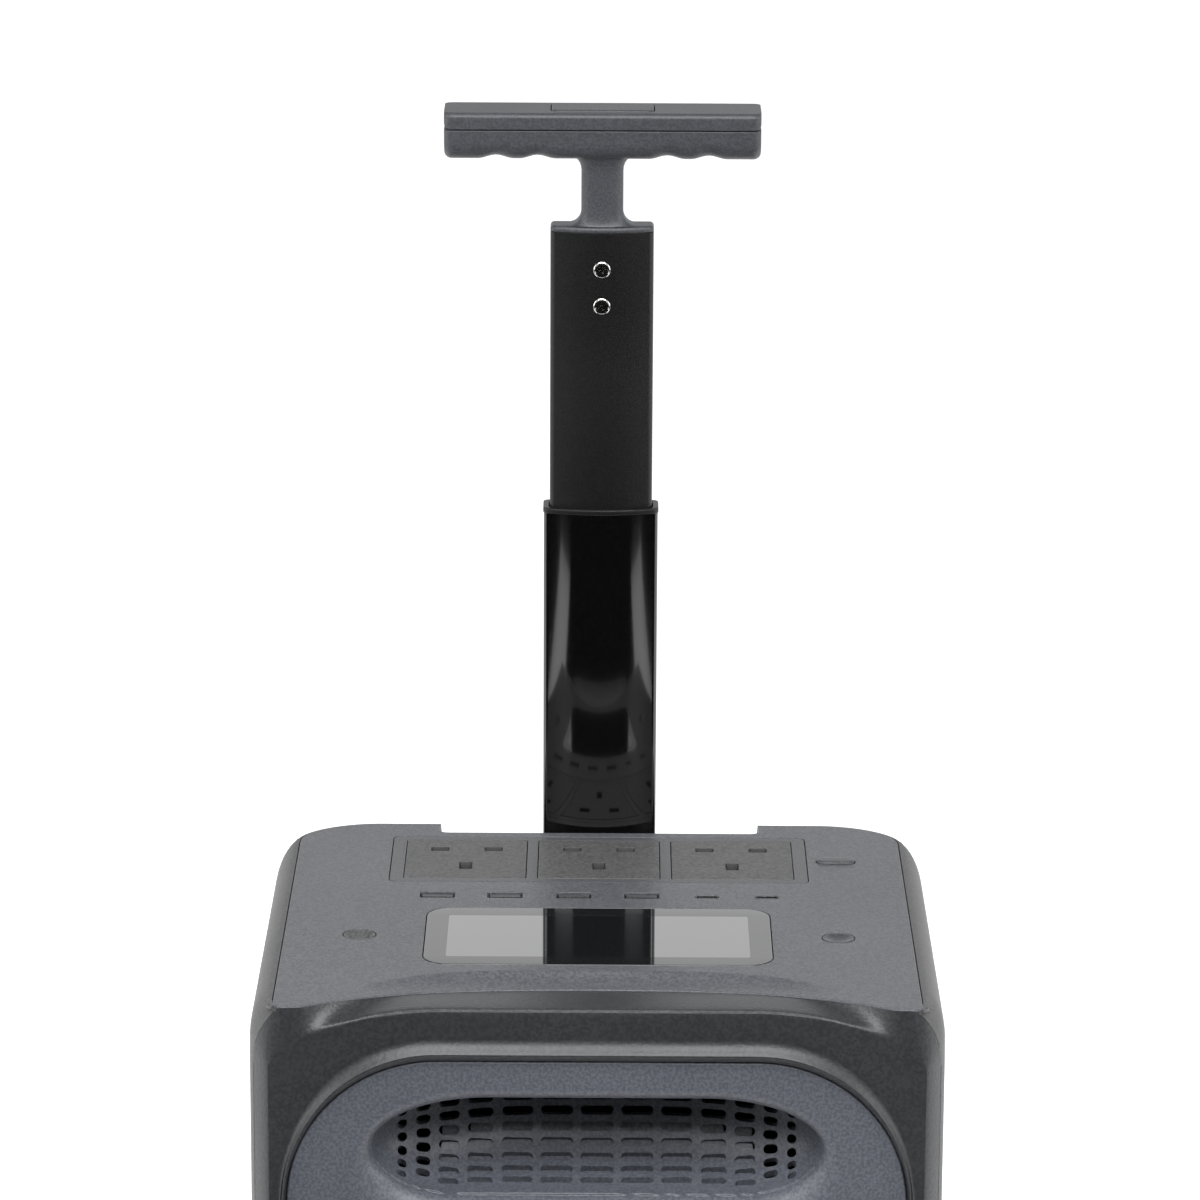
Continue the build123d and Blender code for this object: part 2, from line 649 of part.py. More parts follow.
def make_buttons():
    with BuildPart() as pill:
        with BuildSketch(Plane.XY.offset(PANEL_Z + PILL_PROUD)):
            with Locations(PILL[:2]):
                SlotOverall(PILL[2], PILL[3])
        extrude(amount=-(BUTTON_H + PILL_PROUD))
        fillet(pill.faces().sort_by(Axis.Z)[-1].edges(), PILL_EDGE_R)
    finish_button(pill.part, PILL[0], PILL[1], "usb_button")
    for (x, y, diameter), label in ((ROUND_LEFT, "power_button"), (ROUND_RIGHT, "ac_button")):
        with BuildPart() as round_button:
            with BuildSketch(Plane.XY.offset(PANEL_Z + ROUND_PROUD)):
                with Locations((x, y)):
                    Circle(diameter / 2)
            extrude(amount=-(BUTTON_H + ROUND_PROUD))
            with Locations((x, y, PANEL_Z + ROUND_PROUD + DISH_R - DISH_DEPTH)):
                Sphere(DISH_R, mode=Mode.SUBTRACT)
        finish_button(round_button.part, x, y, label)


def make_button_springs():
    """Return springs, one under each button, standing on the control board."""
    top = PANEL_Z - BUTTON_H
    places = ((PILL, "usb_spring"), (ROUND_LEFT, "power_spring"), (ROUND_RIGHT, "ac_spring"))
    for place, label in places:
        with BuildPart() as spring:
            with BuildSketch(Plane.XY.offset(top)):
                with Locations(place[:2]):
                    Circle(SPRING_R)
                    Circle(SPRING_R - SPRING_T, mode=Mode.SUBTRACT)
            extrude(amount=BOARD_TOP - top)
        export(spring.part, label)


def make_control_board():
    with BuildPart() as control_board:
        with BuildSketch(Plane.XY.offset(BOARD_TOP)):
            with Locations((0, BOARD_Y)):
                Rectangle(BOARD_W, BOARD_L)
            with Locations((PILL[0], PILL[1] - BOARD_TAB_SHIFT)):
                Rectangle(*BOARD_TAB)
        extrude(amount=-BOARD_T)
        for x, y in (PILL[:2], ROUND_LEFT[:2], ROUND_RIGHT[:2]):
            add(slab(SWITCH_SIZE, SWITCH_SIZE, SWITCH_H + BOARD_T / 2, x, y, BOARD_TOP + SWITCH_H))
    export(control_board.part, "control_board")


# ---------------------------------------------------------------- handle
def make_handle_guide():
    top = PANEL_Z - NOTCH_DEPTH - WALL - SEAT_GAP
    bore = (OUTER_W + 2 * GUIDE_CLEAR, OUTER_D + 2 * GUIDE_CLEAR, OUTER_CROWN)
    with BuildPart() as handle_guide:
        with BuildSketch(Plane.XY.offset(GUIDE_BOTTOM_Z)):
            with Locations((0, HANDLE_Y)):
                add(tube_section(bore[0] + 2 * GUIDE_WALL, bore[1] + 2 * GUIDE_WALL, bore[2]))
                add(tube_section(*bore), mode=Mode.SUBTRACT)
        extrude(amount=top - GUIDE_BOTTOM_Z)
        with BuildSketch(Plane.XY.offset(GUIDE_BOTTOM_Z)):
            with Locations((0, HANDLE_Y)):
                add(tube_section(bore[0] + 2 * GUIDE_WALL, bore[1] + 2 * GUIDE_WALL, bore[2]))
        extrude(amount=-WALL)
    export(handle_guide.part, "handle_guide")


def make_outer_stage():
    tube_top = COLLAR_TOP_Z - COLLAR_H
    tube_bottom = COLLAR_TOP_Z - OUTER_TUBE_LENGTH
    inside = (OUTER_W - 2 * TUBE_WALL, OUTER_D - 2 * TUBE_WALL, OUTER_CROWN)
    with BuildPart() as outer_tube:
        with BuildSketch(Plane.XY.offset(tube_bottom)):
            with Locations((0, HANDLE_Y)):
                add(tube_section(OUTER_W, OUTER_D, OUTER_CROWN))
                add(tube_section(*inside), mode=Mode.SUBTRACT)
        extrude(amount=tube_top - tube_bottom)
    export(outer_tube.part, "outer_tube")
    with BuildPart() as tube_collar:
        with BuildSketch(Plane.XY.offset(tube_top)):
            with Locations((0, HANDLE_Y)):
                add(tube_section(OUTER_W + 2 * COLLAR_PROUD, OUTER_D + 2 * COLLAR_PROUD, OUTER_CROWN))
                add(tube_section(*COLLAR_BORE), mode=Mode.SUBTRACT)
        extrude(amount=COLLAR_H)
    export(tube_collar.part, "tube_collar")


def make_inner_stage():
    tube_bottom = INNER_TOP_Z - INNER_TUBE_LENGTH
    bore = (INNER_W - 2 * TUBE_WALL, INNER_D - 2 * TUBE_WALL, INNER_CROWN)
    with BuildPart() as inner_tube:
        with BuildSketch(Plane.XY.offset(tube_bottom)):
            with Locations((0, HANDLE_Y)):
                add(tube_section(INNER_W, INNER_D, INNER_CROWN))
                add(tube_section(*bore), mode=Mode.SUBTRACT)
        extrude(amount=INNER_TUBE_LENGTH)
        for height in TUBE_SCREW_Z:
            with BuildSketch(Plane.XZ.offset(-HANDLE_Y)):
                with Locations((0, height)):
                    Circle(TUBE_SCREW_HOLE_R)
            extrude(amount=INNER_D, mode=Mode.SUBTRACT)
    export(inner_tube.part, "inner_tube")
    plug = (bore[0] - PLUG_FIT, bore[1] - PLUG_FIT, INNER_CROWN)
    with BuildPart() as grip_stem:
        with BuildSketch(Plane.XY.offset(INNER_TOP_Z)):
            with Locations((0, HANDLE_Y)):
                add(tube_section(*plug))
        extrude(amount=-PLUG_LENGTH)
        with BuildSketch(Plane.XY.offset(INNER_TOP_Z)):
            with Locations((0, HANDLE_Y)):
                add(tube_section(INNER_W, INNER_D, INNER_CROWN))
        extrude(amount=PLUG_TOP_Z - INNER_TOP_Z)
        with BuildSketch(Plane.XY.offset(PLUG_TOP_Z)):
            with Locations((0, HANDLE_Y - STEM_LEAD)):
                RectangleRounded(STEM_W, STEM_D, STEM_CORNER_R)
        extrude(amount=GRIP_TOP_Z - GRIP_H - PLUG_TOP_Z)
        with BuildSketch(Plane.XY.offset(GRIP_TOP_Z)):
            with Locations((0, HANDLE_Y)):
                Circle(ROD_R + ROD_CLEAR)
        extrude(amount=-(GRIP_TOP_Z - INNER_TOP_Z + PLUG_LENGTH), mode=Mode.SUBTRACT)
        for height in TUBE_SCREW_Z:
            with BuildSketch(Plane.XZ.offset(-HANDLE_Y + ROD_R + ROD_CLEAR + 0.5)):
                with Locations((0, height)):
                    Circle(STEM_SCREW_HOLE_R)
            extrude(amount=INNER_D, mode=Mode.SUBTRACT)
    export(grip_stem.part, "grip_stem")
    with BuildPart() as tube_screws:
        front = tube_front(INNER_D, INNER_CROWN)
        for height in TUBE_SCREW_Z:
            with BuildSketch(Plane.XZ.offset(-front)):
                with Locations((0, height)):
                    Circle(TUBE_SCREW_HEAD_R)
            extrude(amount=TUBE_SCREW_HEAD_H)
            with BuildSketch(Plane.XZ.offset(-front)):
                with Locations((0, height)):
                    Circle(TUBE_SCREW_R)
            extrude(amount=-TUBE_SCREW_LENGTH)
    export(tube_screws.part, "tube_screws")
    with BuildPart() as latch_block:
        with BuildSketch(Plane.XY.offset(tube_bottom)):
            with Locations((0, HANDLE_Y)):
                add(tube_section(*plug))
        extrude(amount=LATCH_H)
        with BuildSketch(Plane.XY.offset(tube_bottom + LATCH_H)):
            with Locations((0, HANDLE_Y)):
                Circle(ROD_R + ROD_CLEAR)
        extrude(amount=-LATCH_H / 2 + PIN_R, mode=Mode.SUBTRACT)
        with BuildSketch(Plane.YZ.offset(INNER_W / 2)):
            with Locations((HANDLE_Y, tube_bottom + LATCH_H / 4)):
                Circle(PIN_R + BORE_FIT)
        extrude(amount=-INNER_W / 2, mode=Mode.SUBTRACT)
    export(latch_block.part, "latch_block")
    with BuildPart() as lock_pin:
        with BuildSketch(Plane.YZ.offset(INNER_W / 2 - TUBE_WALL - PIN_RECESS)):
            with Locations((HANDLE_Y, tube_bottom + LATCH_H / 4)):
                Circle(PIN_R)
        extrude(amount=-PIN_LENGTH)
    export(lock_pin.part, "lock_pin")


def tube_front(side_depth, crown):
    """Y of a tube's bowed front face on its middle line."""
    return HANDLE_Y - side_depth / 2 - crown


def make_grip():
    grip_y = NOTCH_FRONT_Y + GRIP_FRONT_GAP + GRIP_D / 2
    with BuildPart() as grip_body:
        with BuildSketch(Plane.XY.offset(GRIP_PARTING_Z - GAP / 2)):
            with Locations((0, grip_y)):
                RectangleRounded(GRIP_W, GRIP_D, GRIP_R)
        extrude(amount=-(GRIP_PARTING_Z - GAP / 2 - GRIP_TOP_Z + GRIP_H))
        fillet(grip_body.faces().sort_by(Axis.Z)[0].edges(), GRIP_BOTTOM_R)
        for side in (-1, 1):
            for x in FINGER_GROOVES:
                with BuildSketch(Plane.XZ.offset(-REAR_Y)):
                    with Locations((side * x, GRIP_TOP_Z - GRIP_H - FINGER_R + FINGER_DEPTH)):
                        Circle(FINGER_R)
                extrude(amount=GRIP_D + 2 * OVER, mode=Mode.SUBTRACT)
        add(release_well(grip_y), mode=Mode.SUBTRACT)
        with BuildSketch(Plane.XY.offset(GRIP_TOP_Z)):
            with Locations((0, HANDLE_Y)):
                Circle(ROD_R + ROD_CLEAR)
        extrude(amount=-2 * GRIP_H, mode=Mode.SUBTRACT)
    export(grip_body.part, "grip_body")
    with BuildPart() as grip_cap:
        with BuildSketch(Plane.XY.offset(GRIP_PARTING_Z + GAP / 2)):
            with Locations((0, grip_y)):
                RectangleRounded(GRIP_W, GRIP_D, GRIP_R)
        extrude(amount=GRIP_TOP_Z - GRIP_PARTING_Z - GAP / 2)
        fillet(grip_cap.faces().sort_by(Axis.Z)[-1].edges(), GRIP_TOP_R)
        add(release_well(grip_y), mode=Mode.SUBTRACT)
    export(grip_cap.part, "grip_cap")
    with BuildPart() as release_button:
        with BuildSketch(Plane.XY.offset(GRIP_TOP_Z - RELEASE_SINK)):
            with Locations((0, grip_y)):
                RectangleRounded(*RELEASE_BUTTON, RELEASE_R)
        extrude(amount=-RELEASE_BUTTON_H)
        fillet(release_button.faces().sort_by(Axis.Z)[-1].edges(), RELEASE_EDGE_R)
    export(release_button.part, "release_button")
    rod_top = GRIP_TOP_Z - RELEASE_SINK - RELEASE_BUTTON_H
    rod_bottom = INNER_TOP_Z - INNER_TUBE_LENGTH + LATCH_H / 2 + PIN_R + RELEASE_TRAVEL + OVER
    with BuildPart() as push_rod:
        with BuildSketch(Plane.XY.offset(rod_top)):
            with Locations((0, HANDLE_Y)):
                Circle(ROD_R)
        extrude(amount=rod_bottom - rod_top)
    export(push_rod.part, "push_rod")


def release_well(grip_y):
    """Space that the release button moves in."""
    width, length = (size + 2 * RELEASE_CLEAR for size in RELEASE_BUTTON)
    with BuildPart() as well:
        with BuildSketch(Plane.XY.offset(GRIP_TOP_Z + OVER)):
            with Locations((0, grip_y)):
                RectangleRounded(width, length, RELEASE_R)
        extrude(amount=-(OVER + RELEASE_SINK + RELEASE_BUTTON_H + RELEASE_TRAVEL + RELEASE_BOTTOM_GAP))
    return well.part


# ---------------------------------------------------------------- wheels and feet
def make_wheels():
    for side, name in ((-1, "left"), (1, "right")):
        with BuildPart() as tyre:
            with BuildSketch(Plane.XZ.offset(-AXLE_Y)) as section:
                with Locations((side * WHEEL_X, WHEEL_R + (WHEEL_R + HUB_R) / 2)):
                    Rectangle(WHEEL_W, WHEEL_R - HUB_R)
                fillet(section.vertices().group_by(Axis.Z)[-1], TYRE_EDGE_R)
            revolve(axis=Axis((0, AXLE_Y, WHEEL_R), (1, 0, 0)))
        export(tyre.part, f"tyre_{name}")
        with BuildPart() as hub:
            with BuildSketch(Plane.YZ.offset(side * (WHEEL_X - WHEEL_W / 2 + HUB_INSET))):
                with Locations((AXLE_Y, WHEEL_R)):
                    Circle(HUB_R)
            extrude(amount=side * (WHEEL_W - 2 * HUB_INSET))
            with BuildSketch(Plane.YZ.offset(side * (WHEEL_X + WHEEL_W / 2 - HUB_INSET))):
                with Locations((AXLE_Y, WHEEL_R)):
                    with PolarLocations(HUB_HOLE_PCR, HUB_HOLES):
                        Circle(HUB_HOLE_R)
            extrude(amount=-side * HUB_HOLE_DEPTH, mode=Mode.SUBTRACT)
            with BuildSketch(Plane.YZ.offset(side * (WHEEL_X - WHEEL_W))):
                with Locations((AXLE_Y, WHEEL_R)):
                    Circle(AXLE_R + BORE_FIT)
            extrude(amount=side * (WHEEL_W * 1.5 - HUB_BORE_END), mode=Mode.SUBTRACT)
        export(hub.part, f"wheel_hub_{name}")
    with BuildPart() as axle:
        with BuildSketch(Plane.YZ.offset(-AXLE_HALF_LENGTH)):
            with Locations((AXLE_Y, WHEEL_R)):
                Circle(AXLE_R)
        extrude(amount=2 * AXLE_HALF_LENGTH)
        for side in (-1, 1):
            with BuildSketch(Plane.YZ.offset(side * (WHEEL_X - WHEEL_W / 2 - AXLE_COLLAR_GAP))):
                with Locations((AXLE_Y, WHEEL_R)):
                    Circle(AXLE_COLLAR_R)
            extrude(amount=-side * AXLE_COLLAR_T)
    export(axle.part, "axle")


def make_wheel_wells():
    """Liner cups that close the case round each wheel."""
    inside_case = rounded_block(WALL + SEAT_GAP, BODY_BOTTOM + WALL + SEAT_GAP, PANEL_Z / 2)
    for side, name in ((-1, "left"), (1, "right")):
        inner_x = side * WELL_INNER_X
        with BuildPart() as wheel_well:
            with BuildSketch(Plane.YZ.offset(inner_x)):
                with Locations((AXLE_Y, WHEEL_R)):
                    Circle(WHEEL_R + WELL_CLEAR + WELL_WALL)
                    Circle(AXLE_R + WELL_AXLE_GAP, mode=Mode.SUBTRACT)
            extrude(amount=side * (HALF_W - WALL - SEAT_GAP - WELL_INNER_X))
            with BuildSketch(Plane.YZ.offset(inner_x + side * WELL_WALL)):
                with Locations((AXLE_Y, WHEEL_R)):
                    Circle(WHEEL_R + WELL_CLEAR)
            extrude(amount=side * HALF_W, mode=Mode.SUBTRACT)
            add(inside_case, mode=Mode.INTERSECT)
        export(wheel_well.part, f"wheel_well_{name}")


def make_feet():
    with BuildPart() as front_feet:
        with Locations((0, FOOT_Y)):
            with GridLocations(2 * FOOT_X, 1, 2, 1):
                Cone(FOOT_BOTTOM_R, FOOT_R, BODY_BOTTOM, align=(Align.CENTER, Align.CENTER, Align.MIN))
                Cylinder(FOOT_STUD_R, BODY_BOTTOM + WALL, align=(Align.CENTER, Align.CENTER, Align.MIN))
    export(front_feet.part, "front_feet")


# ---------------------------------------------------------------- inside
def make_battery():
    top = BATTERY_Z + CELL[2]
    with BuildPart() as battery_cells:
        with Locations((0, BATTERY_Y, BATTERY_Z + CELL[2] / 2)):
            with GridLocations(CELL_PITCH, 1, CELL_COUNT, 1):
                Box(*CELL)
    export(battery_cells.part, "battery_cells")
    with BuildPart() as busbars:
        with Locations((0, BATTERY_Y, top + BUSBAR_LIFT)):
            with GridLocations(2 * CELL_PITCH, 2 * BUSBAR_Y, CELL_COUNT // 2, 2):
                Box(*BUSBAR)
    export(busbars.part, "busbars")
    with BuildPart() as battery_cradle:
        with BuildSketch(Plane.XY.offset(BODY_BOTTOM + WALL)):
            with Locations((0, BATTERY_Y)):
                Rectangle(CELL_COUNT * CELL_PITCH + 2 * CRADLE_WALL, CELL[1] + 2 * CRADLE_WALL)
        extrude(amount=BATTERY_Z + CRADLE_LIP - BODY_BOTTOM - WALL)
        with BuildSketch(Plane.XY.offset(BATTERY_Z)):
            with Locations((0, BATTERY_Y)):
                Rectangle(CELL_COUNT * CELL_PITCH + 2 * OVER, CELL[1] + OVER)
        extrude(amount=CRADLE_LIP + 10 * OVER, mode=Mode.SUBTRACT)
        with BuildSketch(Plane.XY.offset(BATTERY_Z - CRADLE_FLOOR_T)):
            with Locations((0, BATTERY_Y)):
                with GridLocations(CRADLE_RIB_PITCH, CELL[1] / 2, 3, 2):
                    Rectangle(*CRADLE_CELLAR)
        extrude(amount=-BATTERY_Z, mode=Mode.SUBTRACT)
    export(battery_cradle.part, "battery_cradle")
    with BuildPart() as battery_strap:
        with BuildSketch(Plane.XZ.offset(-BATTERY_Y - STRAP_W / 2)):
            with Locations((0, BATTERY_Z + CELL[2] / 2 + STRAP_LIFT)):
                Rectangle(*STRAP_LOOP)
                with Locations((0, -STRAP_OPENING_DROP)):
                    Rectangle(*STRAP_OPENING, mode=Mode.SUBTRACT)
        extrude(amount=-STRAP_W)
    export(battery_strap.part, "battery_strap")
    export(slab(*BMS_BOARD, 0, BATTERY_Y, top + BMS_LIFT), "bms_board")


def make_power_stage():
    with BuildPart() as inverter_board:
        add(slab(*INVERTER_BOARD, 0, STAGE_Y, INVERTER_Z))
    export(inverter_board.part, "inverter_board")
    with BuildPart() as heat_sink:
        add(slab(*SINK_BASE, SINK_X, STAGE_Y, INVERTER_Z + SINK_BASE[2] + PART_LIFT))
        for step in range(SINK_FINS):
            fin_x = SINK_FIN_FIRST_X + step * SINK_FIN_PITCH
            add(slab(SINK_FIN_T, SINK_BASE[1], SINK_FIN_H, fin_x, STAGE_Y, INVERTER_Z + SINK_FIN_H + 4))
    export(heat_sink.part, "heat_sink")
    with BuildPart() as transformer:
        add(slab(*TRANSFORMER, TRANSFORMER_X, TRANSFORMER_Y, INVERTER_Z + TRANSFORMER[2] + PART_LIFT))
    export(transformer.part, "transformer")
    with BuildPart() as capacitors:
        with Locations((CAPACITOR_X, STAGE_Y, INVERTER_Z + PART_LIFT)):
            with GridLocations(*CAPACITOR_PITCH, 2, 3):
                Cylinder(CAPACITOR_R, CAPACITOR_H, align=(Align.CENTER, Align.CENTER, Align.MIN))
    export(capacitors.part, "capacitors")


def make_fans():
    screw_pitch = FAN_SIZE - 2 * FAN_SCREW_INSET
    for side, name in ((-1, "left"), (1, "right")):
        inner_face = side * (FAN_X - FAN_T / 2)
        with BuildPart() as fan_frame:
            with BuildSketch(Plane.YZ.offset(inner_face)):
                with Locations((FAN_Y, FAN_Z)):
                    RectangleRounded(FAN_SIZE, FAN_SIZE, FAN_CORNER_R)
                    Circle(FAN_BORE_R, mode=Mode.SUBTRACT)
                    with GridLocations(screw_pitch, screw_pitch, 2, 2):
                        Circle(FAN_SCREW_R, mode=Mode.SUBTRACT)
            extrude(amount=side * FAN_T)
            with BuildSketch(Plane.YZ.offset(inner_face)):
                with Locations((FAN_Y, FAN_Z)):
                    Circle(ROTOR_HUB_R)
                    Rectangle(2 * (FAN_BORE_R + OVER), SPIDER_W)
                    Rectangle(SPIDER_W, 2 * (FAN_BORE_R + OVER))
            extrude(amount=side * SPIDER_T)
            with BuildSketch(Plane.YZ.offset(inner_face)):
                with Locations((FAN_Y, FAN_Z)):
                    Circle(SPINDLE_R)
            extrude(amount=side * SPINDLE_LENGTH)
        export(fan_frame.part, f"fan_frame_{name}")
        with BuildPart() as fan_rotor:
            with BuildSketch(Plane.YZ.offset(inner_face + side * ROTOR_START)):
                with Locations((FAN_Y, FAN_Z)):
                    Circle(ROTOR_HUB_R)
            extrude(amount=side * ROTOR_LENGTH)
            with BuildSketch(Plane.YZ.offset(inner_face + side * BLADE_START)):
                with Locations((FAN_Y, FAN_Z)):
                    with PolarLocations((ROTOR_HUB_R + ROTOR_R) / 2 - 1, BLADES):
                        Rectangle(ROTOR_R - ROTOR_HUB_R + 2, BLADE_T, rotation=BLADE_TILT)
            extrude(amount=side * BLADE_DEPTH)
            with BuildSketch(Plane.YZ.offset(inner_face + side * (ROTOR_START - 1.2))):
                with Locations((FAN_Y, FAN_Z)):
                    Circle(SPINDLE_R + BORE_FIT)
            extrude(amount=side * (SPINDLE_LENGTH - 1.5), mode=Mode.SUBTRACT)
        export(fan_rotor.part, f"fan_rotor_{name}")


def make_inlets():
    openings = ((AC_INLET_OPENING, "ac_inlet"), (SOLAR_INLET_OPENING, "solar_inlet"))
    pin_w, pin_h, pin_length = INLET_PIN
    for (centre_x, width, height), label in openings:
        with BuildPart() as inlet:
            with BuildSketch(Plane.XZ.offset(-REAR_Y + INLET_SINK)):
                with Locations((centre_x, INLET_Z)):
                    RectangleRounded(width - 2 * SEAT_GAP, height - 2 * SEAT_GAP, INLET_CORNER_R)
            extrude(amount=INLET_DEPTH)
            with BuildSketch(Plane.XZ.offset(-REAR_Y - OVER)):
                with Locations((centre_x, INLET_Z)):
                    RectangleRounded(width - 2 * INLET_RIM[0], height - 2 * INLET_RIM[1], INLET_CORNER_R)
            extrude(amount=INLET_MOUTH_DEPTH + OVER, mode=Mode.SUBTRACT)
            with BuildSketch(Plane.XZ.offset(-REAR_Y + INLET_MOUTH_DEPTH + OVER)):
                with Locations((centre_x, INLET_Z)):
                    with GridLocations(INLET_PIN_PITCH, 1, 3, 1):
                        Rectangle(pin_w, pin_h)
            extrude(amount=-pin_length)
        export(inlet.part, label)


def make_case_screws():
    with BuildPart() as case_screws:
        for x in (-SCREW_X, SCREW_X):
            for z in SCREW_ROWS_Z:
                with BuildSketch(Plane.XZ.offset(-REAR_Y)):
                    with Locations((x, z)):
                        Circle(SCREW_R)
                extrude(amount=-SCREW_HEAD_H)
    export(case_screws.part, "case_screws")


def main():
    case = case_shell()
    make_base_tray(case)
    make_front_shell(case)
    make_side_covers(case)
    make_rear_shell(case)
    make_top_panel()
    make_front_grille()
    make_socket_frame()
    make_ac_sockets()
    make_usb_ports()
    make_display()
    make_buttons()
    make_button_springs()
    make_control_board()
    make_handle_guide()
    make_outer_stage()
    make_inner_stage()
    make_grip()
    make_wheels()
    make_wheel_wells()
    make_feet()
    make_battery()
    make_power_stage()
    make_fans()
    make_inlets()
    make_case_screws()


main()
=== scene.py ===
"""Looks of the wheeled power station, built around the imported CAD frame.

Lengths in the shape code are millimetres in the CAD frame; MM turns them into metres.
"""
import json
import math

import bmesh
import bpy
from mathutils import Matrix, Vector
from mathutils.geometry import delaunay_2d_cdt


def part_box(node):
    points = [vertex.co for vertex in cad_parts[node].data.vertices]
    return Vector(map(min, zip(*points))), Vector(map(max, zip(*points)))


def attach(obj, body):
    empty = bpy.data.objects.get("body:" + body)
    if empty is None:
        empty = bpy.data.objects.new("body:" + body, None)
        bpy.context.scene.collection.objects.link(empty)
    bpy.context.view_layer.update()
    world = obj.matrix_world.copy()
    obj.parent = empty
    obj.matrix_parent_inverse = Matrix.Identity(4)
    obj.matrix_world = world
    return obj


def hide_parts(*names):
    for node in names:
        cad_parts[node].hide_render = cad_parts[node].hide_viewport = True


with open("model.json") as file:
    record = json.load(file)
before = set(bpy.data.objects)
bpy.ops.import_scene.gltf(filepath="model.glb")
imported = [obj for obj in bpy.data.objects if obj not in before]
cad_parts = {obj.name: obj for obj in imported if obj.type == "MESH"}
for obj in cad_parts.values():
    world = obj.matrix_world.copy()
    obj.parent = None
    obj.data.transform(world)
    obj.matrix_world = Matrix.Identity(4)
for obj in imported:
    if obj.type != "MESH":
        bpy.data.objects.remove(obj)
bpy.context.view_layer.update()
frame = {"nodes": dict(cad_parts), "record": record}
MM = 0.001


def box_mm(node):
    """Lowest and highest corner of a CAD node, in millimetres."""
    low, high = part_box(node)
    return Vector(low) / MM, Vector(high) / MM


PANEL_Z = box_mm("top_panel")[1].z
CASE_LOW, CASE_HIGH = box_mm("rear_shell")
HALF_W = CASE_HIGH.x
REAR_Y = CASE_HIGH.y
FRONT_Y = box_mm("front_grille")[0].y
CASE_BOTTOM = box_mm("base_tray")[0].z
BASE_SEAM = box_mm("base_tray")[1].z + 0.2
HANDLE_Y = 106.0


# ---------------------------------------------------------------- mesh helpers
def make_object(name, verts, faces, smooth=True):
    """A mesh object from points in millimetres."""
    mesh = bpy.data.meshes.new(name)
    mesh.from_pydata([Vector(v) * MM for v in verts], [], faces)
    mesh.validate()
    mesh.update()
    obj = bpy.data.objects.new(name, mesh)
    bpy.context.collection.objects.link(obj)
    for polygon in mesh.polygons:
        polygon.use_smooth = smooth
    return obj


def apply_modifiers(obj):
    """Replace the mesh by its modified form."""
    depsgraph = bpy.context.evaluated_depsgraph_get()
    mesh = bpy.data.meshes.new_from_object(obj.evaluated_get(depsgraph))
    old = obj.data
    obj.modifiers.clear()
    obj.data = mesh
    bpy.data.meshes.remove(old)
    return obj


def tidy_normals(obj, angle=35):
    """Outward faces, smooth below the angle and sharp above it."""
    mesh = bmesh.new()
    mesh.from_mesh(obj.data)
    bmesh.ops.remove_doubles(mesh, verts=mesh.verts, dist=0.004 * MM)
    bmesh.ops.recalc_face_normals(mesh, faces=mesh.faces)
    limit = math.radians(angle)
    for edge in mesh.edges:
        edge.smooth = not (len(edge.link_faces) == 2 and edge.calc_face_angle(0) > limit)
    for face in mesh.faces:
        face.smooth = True
    mesh.to_mesh(obj.data)
    mesh.free()
    return obj


def bevel(obj, width, segments=2, angle=40):
    """Round the sharp edges by a width in millimetres."""
    modifier = obj.modifiers.new("bevel", "BEVEL")
    modifier.width = width * MM
    modifier.segments = segments
    modifier.limit_method = "ANGLE"
    modifier.angle_limit = math.radians(angle)
    modifier.harden_normals = False
    modifier.use_clamp_overlap = True
    return apply_modifiers(obj)


def weighted(obj):
    """Let the large flat faces rule the shading."""
    modifier = obj.modifiers.new("weighted", "WEIGHTED_NORMAL")
    modifier.keep_sharp = True
    modifier.weight = 50
    return apply_modifiers(obj)


def thicken(obj, thickness):
    """Give a skin its wall, on the inner side."""
    modifier = obj.modifiers.new("wall", "SOLIDIFY")
    modifier.thickness = thickness * MM
    modifier.offset = -1
    return apply_modifiers(obj)


def cut(obj, cutter, folded=False):
    """Subtract one object from another and drop the cutter. folded allows a skin that meets itself."""
    modifier = obj.modifiers.new("cut", "BOOLEAN")
    modifier.operation = "DIFFERENCE"
    modifier.solver = "EXACT"
    modifier.use_self = folded
    modifier.object = cutter
    apply_modifiers(obj)
    data = cutter.data
    bpy.data.objects.remove(cutter)
    bpy.data.meshes.remove(data)
    return obj


def grid_faces(rows, columns, loop=False):
    """Quads between consecutive rows of points."""
    faces = []
    for r in range(rows - 1):
        for c in range(columns if loop else columns - 1):
            d = (c + 1) % columns
            faces.append((r * columns + c, r * columns + d, (r + 1) * columns + d, (r + 1) * columns + c))
    return faces


def loft(name, loops, caps=True, closed=True):
    """Skin through equal loops of points, with flat caps."""
    count = len(loops[0])
    verts = [p for loop in loops for p in loop]
    faces = grid_faces(len(loops), count, closed)
    if caps:
        faces.append(tuple(range(count))[::-1])
        faces.append(tuple((len(loops) - 1) * count + i for i in range(count)))
    return make_object(name, verts, faces)


def rounded_rect(half_w, half_h, radius, steps=8, centre=(0, 0)):
    """Points of a rounded rectangle, anticlockwise from the right-hand side's foot."""
    points = []
    radius = min(radius, half_w, half_h)
    for quadrant, (sx, sy) in enumerate(((1, 1), (-1, 1), (-1, -1), (1, -1))):
        for step in range(steps + 1):
            a = math.radians(90 * quadrant + 90 * step / steps)
            points.append((centre[0] + sx * (half_w - radius) + radius * math.cos(a),
                           centre[1] + sy * (half_h - radius) + radius * math.sin(a)))
    return points


